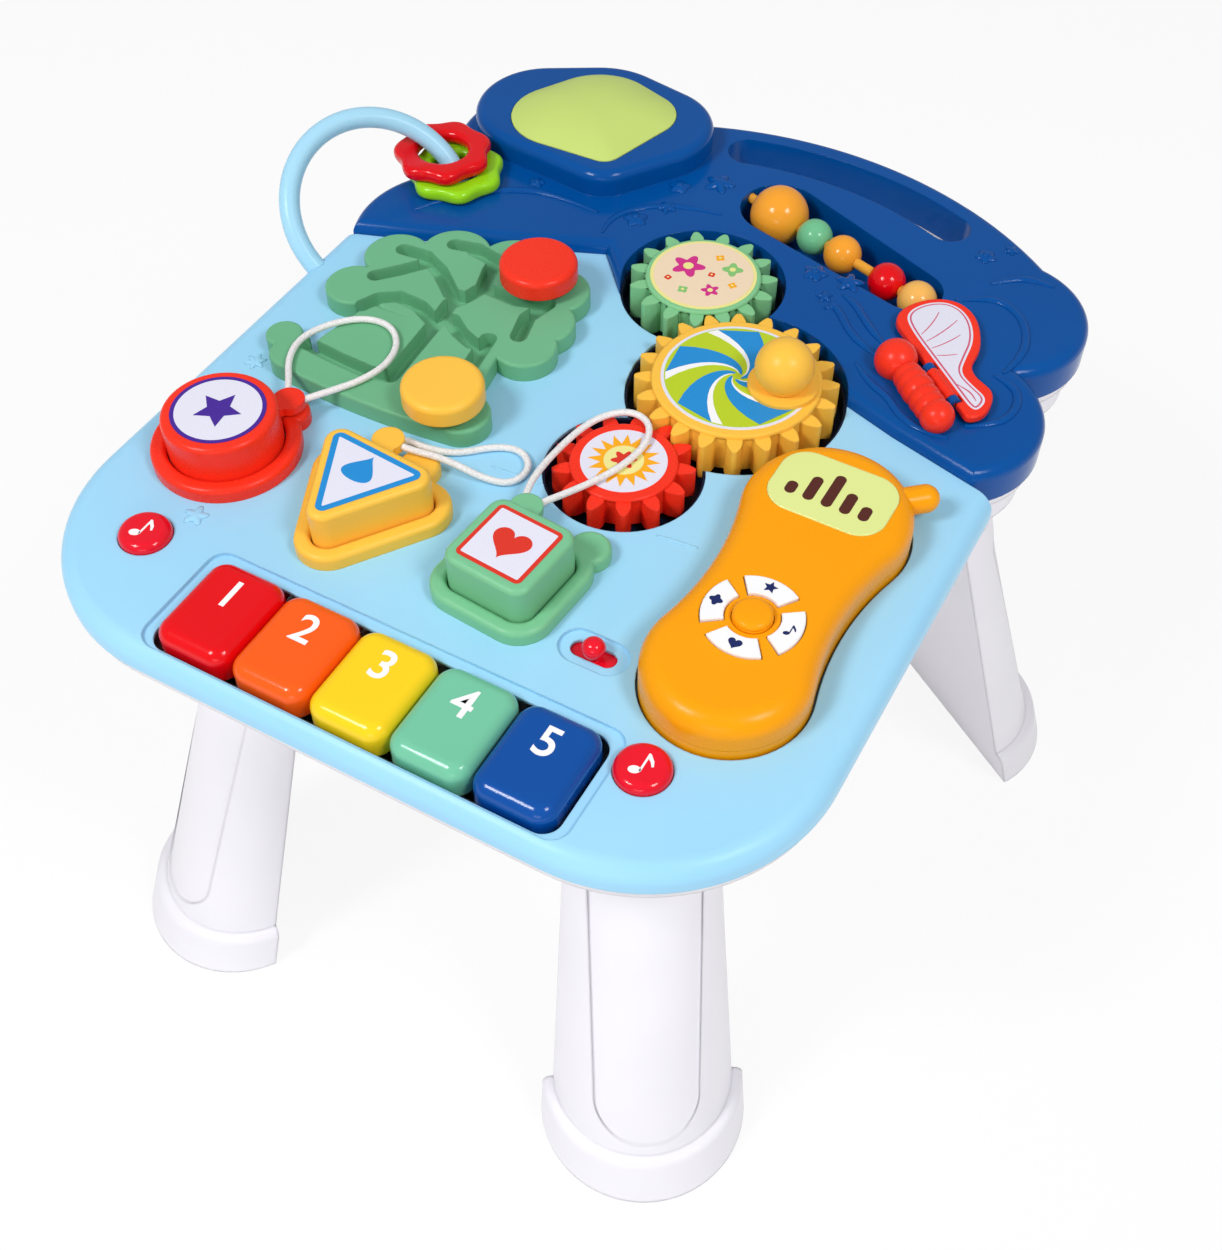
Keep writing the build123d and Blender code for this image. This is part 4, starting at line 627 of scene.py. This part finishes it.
# Pinwheel of the yellow gear: curved vanes with a thin line beside each
vanePlan = {"inner": 2.2, "outer": 31.5, "twist": radians(115), "steps": 14, "count": 5, "vane": radians(34),
            "line": radians(9), "lineTurn": 21.5}


def blade(width):
    # one curved vane, swept from the middle outwards
    bm = bmesh.new()
    inner, steps = vanePlan["inner"] * mm, vanePlan["steps"]
    ends = [bm.verts.new((inner * cos(a), inner * sin(a), 0)) for a in (-width / 2, width / 2)]
    edges = [bm.edges.new(ends)]
    share = (vanePlan["outer"] / vanePlan["inner"]) ** (1 / steps)
    for step in range(steps):
        verts, edges = growEdges(bm, edges)
        bmesh.ops.scale(bm, vec=(share, share, 1), verts=verts)
        bmesh.ops.rotate(bm, verts=verts, cent=(0, 0, 0),
                         matrix=Matrix.Rotation(vanePlan["twist"] / steps, 3, "Z"))
    return bm


def pinwheel(width):
    # the same blade repeated round the centre
    bm = bmesh.new()
    for index in range(vanePlan["count"]):
        one = blade(width)
        bmesh.ops.rotate(one, verts=one.verts, cent=(0, 0, 0),
                         matrix=Matrix.Rotation(2 * pi * index / vanePlan["count"], 3, "Z"))
        mesh = bpy.data.meshes.new("part")
        one.to_mesh(mesh)
        one.free()
        bm.from_mesh(mesh)
        bpy.data.meshes.remove(mesh)
    return bm


# Gear stickers: film first, then inks one on the other, each with its own radius
layerReach = {"red": {"film": 18.5, "rays": 15.5, "sun": 8.6, "bloom": 5.6},
              "yellow": {"edge": 33.5, "film": 32.0}, "green": {"edge": 25.0, "film": 23.4}}


def gearLayer(colour, name, shape, ink, level, thick, turn=0.0, shift=(0.0, 0.0)):
    plan = gearPlan["gear_" + colour]
    stuckOn(shape, colour + "_gear_" + name, colour + "_gear", ink, plan["centre"][0] + shift[0],
            plan["centre"][1] + shift[1], plan["top"] + level, turn, thick)


filmThick, inkThick = stickerPlan["film"], stickerPlan["ink"]
secondInk, thirdInk = onFilm + onInk, onFilm + 2 * onInk
red, yellow, green = layerReach["red"], layerReach["yellow"], layerReach["green"]
gearLayer("red", "film", disc(red["film"]), filmWhite, 0.0, filmThick)
gearLayer("red", "rays", lobed(red["rays"], 16, 0.36, count=32, sharp=True), inkSun, onFilm, inkThick)
gearLayer("red", "sun", disc(red["sun"]), inkButter, secondInk, inkThick)
gearLayer("red", "bloom", lobed(red["bloom"], 6, 0.42), inkRed, thirdInk, inkThick)
gearLayer("yellow", "edge", disc(yellow["edge"]), filmWhite, 0.0, filmThick)
gearLayer("yellow", "film", disc(yellow["film"]), inkLime, onFilm, inkThick)
gearLayer("yellow", "vanes", pinwheel(vanePlan["vane"]), inkBlue, secondInk, inkThick)
gearLayer("yellow", "lines", pinwheel(vanePlan["line"]), inkWhite, secondInk, stickerPlan["line"],
          vanePlan["lineTurn"])
gearLayer("green", "edge", disc(green["edge"]), inkButter, 0.0, filmThick)
gearLayer("green", "film", disc(green["film"]), inkCream, onFilm, inkThick)

# each blossom: place from the gear's centre, radius, ink, petals and how deep they are cut
blossomPlan = {"turn": 20.0, "eye": 0.3, "eyeCorners": 24}
blossoms = [((-9.0, 2.0), 8.2, inkPink, 5, 0.45), ((10.5, 9.5), 5.0, inkLeaf, 4, 0.4),
            ((8.0, -9.0), 4.4, inkPink, 5, 0.45), ((-3.5, -14.5), 2.6, inkLeaf, 4, 0.3),
            ((1.5, 14.5), 2.4, inkSun, 4, 0.3), ((15.5, -1.0), 2.2, inkSun, 4, 0.3),
            ((-13.5, -10.0), 1.8, inkRed, 4, 0.2), ((3.5, 1.5), 1.8, inkRed, 4, 0.2)]
for index, (shift, radius, ink, petals, depth) in enumerate(blossoms):
    gearLayer("green", "bloom_" + str(index), lobed(radius, petals, depth), ink, secondInk, inkThick,
              blossomPlan["turn"] * index, shift)
    gearLayer("green", "eye_" + str(index), disc(radius * blossomPlan["eye"], blossomPlan["eyeCorners"]),
              inkButter, thirdInk, stickerPlan["eye"], 0.0, shift)
print("gear stickers set")

# Telephone: dial signs, a domed centre button and level bars on the screen
phonePlan = {"x": 117.0, "dial": -97.0, "dialTop": 20.43, "signReach": 15.5,
             "screenTop": 19.62, "barFoot": -32.0, "barWidth": 4.6, "barCorner": 2.2,
             "dome": {"radius": 7.9, "corners": 60, "sink": 0.3, "height": 2.4, "soft": 2.0},
             "bars": [(-16.0, 7.0), (-8.0, 14.0), (0.0, 19.0), (8.0, 12.0), (16.0, 8.0)]}
signs = [("top", 90, lobed(3.0, 5, 0.52, count=10, sharp=True)), ("right", 0, quaver(0.55)),
         ("bottom", 270, heartDisc(5.6)), ("left", 180, lobed(2.8, 4, 0.35))]
for side, turn, shape in signs:
    stuckOn(shape, "dial_sign_" + side, "phone_" + side, inkNavy,
            phonePlan["x"] + phonePlan["signReach"] * cos(radians(turn)),
            phonePlan["dial"] + phonePlan["signReach"] * sin(radians(turn)), phonePlan["dialTop"], 0.0,
            stickerPlan["print"])
dome = phonePlan["dome"]
stuckOn(disc(dome["radius"], dome["corners"]), "dial_dome", "phone_center", phoneOrange, phonePlan["x"],
        phonePlan["dial"], phonePlan["dialTop"] - dome["sink"], 0.0, dome["height"], dome["soft"])
for index, (dx, height) in enumerate(phonePlan["bars"]):
    bar = roundedPlate(phonePlan["barWidth"], height, phonePlan["barCorner"])
    stuckOn(bar, "screen_bar_" + str(index), "phone", inkBrown, phonePlan["x"] + dx,
            phonePlan["barFoot"] + height / 2, phonePlan["screenTop"], 0.0, stickerPlan["print"])
print("telephone signs set")

rearTop = 6.0  # the dark panel's face over the light one's
ridgeTaper = 0.45  # share of its width that a ridge keeps at its ends


# Low ridges moulded on the panels: a swept bead, flattened on to the face
def ridge(name, body, finish, points, width, height, level):
    curve = bpy.data.curves.new(name + "_line", "CURVE")
    curve.dimensions = "3D"
    curve.bevel_depth = width / 2 * mm
    curve.bevel_resolution = 4
    curve.resolution_u = 8
    curve.use_fill_caps = True
    line = curve.splines.new("NURBS")
    line.points.add(len(points) - 1)
    for point, place in zip(line.points, points):
        point.co = (*spot(*place), 1.0)
    for end in (line.points[0], line.points[-1]):
        end.radius = ridgeTaper
    line.order_u = 3
    line.use_endpoint_u = True
    bm = meshOf(curve)
    base = spot(0, 0, level).z
    for vert in bm.verts:
        vert.co.z = base + (vert.co.z - spot(0, 0, 0).z) * 2 * height / width
    finishPiece(bm, name, body, [finish], angle=60)


ridges = {
    "wing_rim_upper": [(112.0, 130.5), (122.0, 138.0), (132.0, 140.0), (143.0, 134.0), (150.5, 121.0),
                       (152.5, 106.0), (149.0, 93.5)],
    "wing_rim_lower": [(146.0, 90.0), (154.0, 88.5), (160.5, 82.0), (162.0, 70.5), (157.0, 60.0),
                       (146.0, 53.5)],
    "tail_rim": [(143.0, 43.0), (131.0, 41.0), (118.0, 46.5), (110.0, 54.5), (98.5, 59.0), (89.0, 68.0)],
    "feeler_long": [(61.5, 95.5), (63.5, 100.5), (70.0, 95.0), (77.0, 87.0), (87.0, 80.0), (95.0, 77.5)],
    "feeler_short": [(65.0, 108.5), (71.0, 106.5), (80.5, 97.5), (88.0, 90.5), (96.0, 85.0)],
    "cloud_seam": [(122.0, 150.0), (130.0, 158.5), (139.0, 162.5), (149.0, 162.0)],
    "band_low": [(-146.0, 66.0), (-136.0, 84.0), (-117.0, 101.5), (-93.0, 111.0), (-66.0, 108.0)],
    "tongue_rim": [(-56.0, 95.0), (-59.0, 106.0), (-50.0, 122.0), (-31.0, 134.0), (-12.0, 136.0)],
    "path_left": [(-22.0, -61.6), (-9.0, -60.8), (3.0, -60.4)],
    "path_right": [(58.0, -62.4), (67.0, -61.4), (76.0, -60.4)],
}
ridgeSizes = {"band_low": (4.0, 1.5), "tongue_rim": (3.4, 1.1), "path_left": (2.4, 0.6),
              "path_right": (2.4, 0.6), "others": (4.0, 1.3)}  # width and height
for name, points in ridges.items():
    finish, level = (satinBlue, 0.0) if name.startswith("path") else (deepBlue, rearTop)
    ridge(name, "table", finish, points, *ridgeSizes.get(name, ridgeSizes["others"]), level)
print("ridges moulded")

# Wing film with a printed border and veins, laid out along the body's own axis
wingPlan = {
    "head": (105.5, 73.0), "turn": -40.5, "top": 11.22, "layer": 0.08, "step": 0.09,
    "film": [(-17.0, 15.6), (-26.5, 18.5), (-30.0, 28.5), (-28.0, 39.0), (-20.5, 44.0), (-10.0, 43.5),
             (1.5, 38.0), (10.0, 29.5), (17.5, 22.5), (27.0, 23.5), (36.5, 25.5), (41.5, 19.0), (40.0, 15.6),
             (28.0, 15.6), (6.0, 15.6)],
    "insets": [("film", filmWhite, 0.0), ("border", inkRose, 1.0), ("field", filmWhite, 1.8)],
    "veins": [[(-11.0, 18.2), (-15.0, 26.0), (-22.0, 33.0)], [(-6.0, 18.2), (-8.5, 28.0), (-14.0, 38.0)],
              [(-1.0, 18.2), (-1.5, 26.0), (-4.5, 34.5)], [(4.0, 18.0), (6.0, 22.5), (6.5, 27.0)],
              [(24.0, 17.4), (28.0, 19.4), (32.0, 20.6), (36.5, 20.0)]],
    "veinSize": (0.8, 0.06), "veinLevel": 0.28,
}


def filledLoop(points, inset):
    curve = bpy.data.curves.new("loop", "CURVE")
    curve.dimensions = "2D"
    curve.fill_mode = "BOTH"
    curve.offset = -inset * mm
    curve.resolution_u = 8
    line = curve.splines.new("NURBS")
    line.points.add(len(points) - 1)
    for point, place in zip(line.points, points):
        point.co = (place[0] * mm, place[1] * mm, 0.0, 1.0)
    line.order_u = 3
    line.use_cyclic_u = True
    return meshOf(curve)


def onWing(along, side):
    a = radians(wingPlan["turn"])
    x, y = wingPlan["head"]
    return (x + along * cos(a) - side * sin(a), y + along * sin(a) + side * cos(a))


for index, (part, ink, inset) in enumerate(wingPlan["insets"]):
    stuckOn(filledLoop(wingPlan["film"], inset), "wing_" + part, "wing", ink, *wingPlan["head"],
            wingPlan["top"] + wingPlan["step"] * index, wingPlan["turn"], wingPlan["layer"])
for index, points in enumerate(wingPlan["veins"]):
    ridge("wing_vein_" + str(index), "wing", inkRose, [onWing(*place) for place in points],
          *wingPlan["veinSize"], wingPlan["top"] + wingPlan["veinLevel"])
print("wing film set")

# Raised stars and blossoms on the dark panel, and two lower ones on the light panel
reliefPlan = {
    "sink": 0.1, "rings": 9, "fullness": 2.6, "corners": 80, "turn": 17.0, "lowTurn": 12.0,
    "dips": {"star": 0.46, "bloom": 0.26, "low": 0.4},
    "crown": {"most": 2.1, "share": 0.34, "low": 1.1},
    "eye": {"share": 0.34, "corners": 24, "level": 0.85, "crown": 0.9},
    "high": [("star", -24.0, 158.0, 8.5), ("bloom", -40.5, 146.0, 6.0), ("bloom", -47.0, 112.5, 6.5),
             ("star", -38.0, 128.0, 5.5), ("bloom", 47.0, 117.0, 6.5), ("star", 64.0, 118.0, 7.5),
             ("star", 58.0, 103.0, 4.5), ("bloom", 113.0, 168.0, 5.5), ("star", 122.0, 178.0, 4.0),
             ("bloom", -104.5, 114.4, 4.6)],
    "low": [("low_star", -113.7, -145.6, 6.0, 5), ("low_bloom", -150.6, -56.8, 5.5, 6)],
}


def cushion(bm, name, finish, x, y, level, turn, crown):
    # a flat outline puffed up into a cushion, its own face left as the base
    domeUp(bm, bm.edges[:], Vector(), crown, reliefPlan["rings"], reliefPlan["fullness"])
    putAt(bm, x, y, level - reliefPlan["sink"], turn)
    finishPiece(bm, name, "table", [finish], angle=50)


dips, crowns, eye, corners = (reliefPlan[part] for part in ("dips", "crown", "eye", "corners"))
for index, (kind, x, y, radius) in enumerate(reliefPlan["high"]):
    crown = min(crowns["most"], crowns["share"] * radius)
    cushion(lobed(radius, 5, dips[kind], corners), "relief_" + kind + "_" + str(index), deepBlue, x, y,
            rearTop, reliefPlan["turn"] * index, crown)
    if kind == "bloom":
        cushion(disc(radius * eye["share"], eye["corners"]), "relief_eye_" + str(index), deepBlue, x, y,
                rearTop + eye["level"] * crown, 0.0, eye["crown"])
for name, x, y, radius, lobes in reliefPlan["low"]:
    cushion(lobed(radius, lobes, dips["low"], corners), name, satinBlue, x, y, 0.0, reliefPlan["lowTurn"],
            crowns["low"])
print("relief set")

# Studio: a pale floor, two soft lamps either side of the camera and a low front fill
studio = {
    "floor": "#FBFBFB", "floorSize": 4.0, "floorLift": 0.86, "world": 0.4,
    "lamps": {  # place, aim and size in metres, power in watts
        "left_lamp": ((-0.57, -1.11, 1.68), (0, 0, 0.25), (0.45, 0.45), 16.0),
        "right_lamp": ((1.19, -0.36, 1.68), (0, 0, 0.25), (0.45, 0.45), 12.0),
        "front_lamp": ((0.5, -1.6, 0.6), (0, 0, 0.2), (0.8, 0.4), 2.4),
    },
}
bm = bmesh.new()
bmesh.ops.create_grid(bm, x_segments=1, y_segments=1, size=studio["floorSize"])
floorMesh = bpy.data.meshes.new("floor")
bm.to_mesh(floorMesh)
bm.free()
floor = bpy.data.objects.new("floor", floorMesh)
bpy.context.scene.collection.objects.link(floor)

paper, tree = blankMaterial("SeamlessPaper")  # matt paper that the camera sees almost white
rays = addNode(tree, "ShaderNodeLightPath").outputs
seen = addNode(tree, "ShaderNodeMath", {"operation": "MAXIMUM"},
               {0: rays["Is Camera Ray"], 1: rays["Is Glossy Ray"]})
lift = addNode(tree, "ShaderNodeMath", {"operation": "MULTIPLY", 1: studio["floorLift"]}, {0: seen.outputs[0]})
matt = addNode(tree, "ShaderNodeBsdfDiffuse", {"Color": linear(studio["floor"])})
glow = addNode(tree, "ShaderNodeEmission", {"Strength": 1.0})
both = addNode(tree, "ShaderNodeMixShader", {}, {0: lift.outputs[0], 1: matt.outputs[0], 2: glow.outputs[0]})
addNode(tree, "ShaderNodeOutputMaterial", {}, {"Surface": both.outputs[0]})
floorMesh.materials.append(paper)

world = bpy.data.worlds.new("studio")
bpy.context.scene.world = world
world.use_nodes = True
tree = world.node_tree
tree.nodes.clear()
sky = addNode(tree, "ShaderNodeBackground", {"Color": (1, 1, 1, 1), "Strength": studio["world"]})
addNode(tree, "ShaderNodeOutputWorld", {}, {"Surface": sky.outputs[0]})


def softbox(name, place, aim, size, power):
    lamp = bpy.data.lights.new(name, "AREA")
    lamp.shape = "RECTANGLE"
    lamp.size, lamp.size_y = size
    lamp.energy = power
    holder = bpy.data.objects.new(name, lamp)
    holder.location = place
    holder.rotation_euler = (Vector(aim) - Vector(place)).to_track_quat("-Z", "Y").to_euler()
    bpy.context.scene.collection.objects.link(holder)


for name, settings in studio["lamps"].items():
    softbox(name, *settings)

# Camera as fitted to the photograph: turned 29.2 degrees right of the key row, looking 50.9 degrees down
view = {"turn": 29.173, "drop": 50.854, "place": (0.2521, -0.4424, 0.7321), "sensor": 36.0,
        "focal": 1559.168, "height": 1250}  # focal length and the frame's long side in pixels
a, e = radians(view["turn"]), radians(view["drop"])
across = Vector((cos(a), sin(a), 0))
back = Vector((sin(a) * cos(e), -cos(a) * cos(e), sin(e)))
upward = back.cross(across)
lens = bpy.data.cameras.new("camera")
lens.sensor_width = view["sensor"]
lens.lens = view["focal"] * view["sensor"] / view["height"]
camera = bpy.data.objects.new("camera", lens)
turned = Matrix((across, upward, back)).transposed().to_4x4()
camera.matrix_world = Matrix.Translation(view["place"]) @ turned
bpy.context.scene.collection.objects.link(camera)
bpy.context.scene.camera = camera
bpy.context.scene.view_settings.view_transform = "Standard"
print("studio ready")
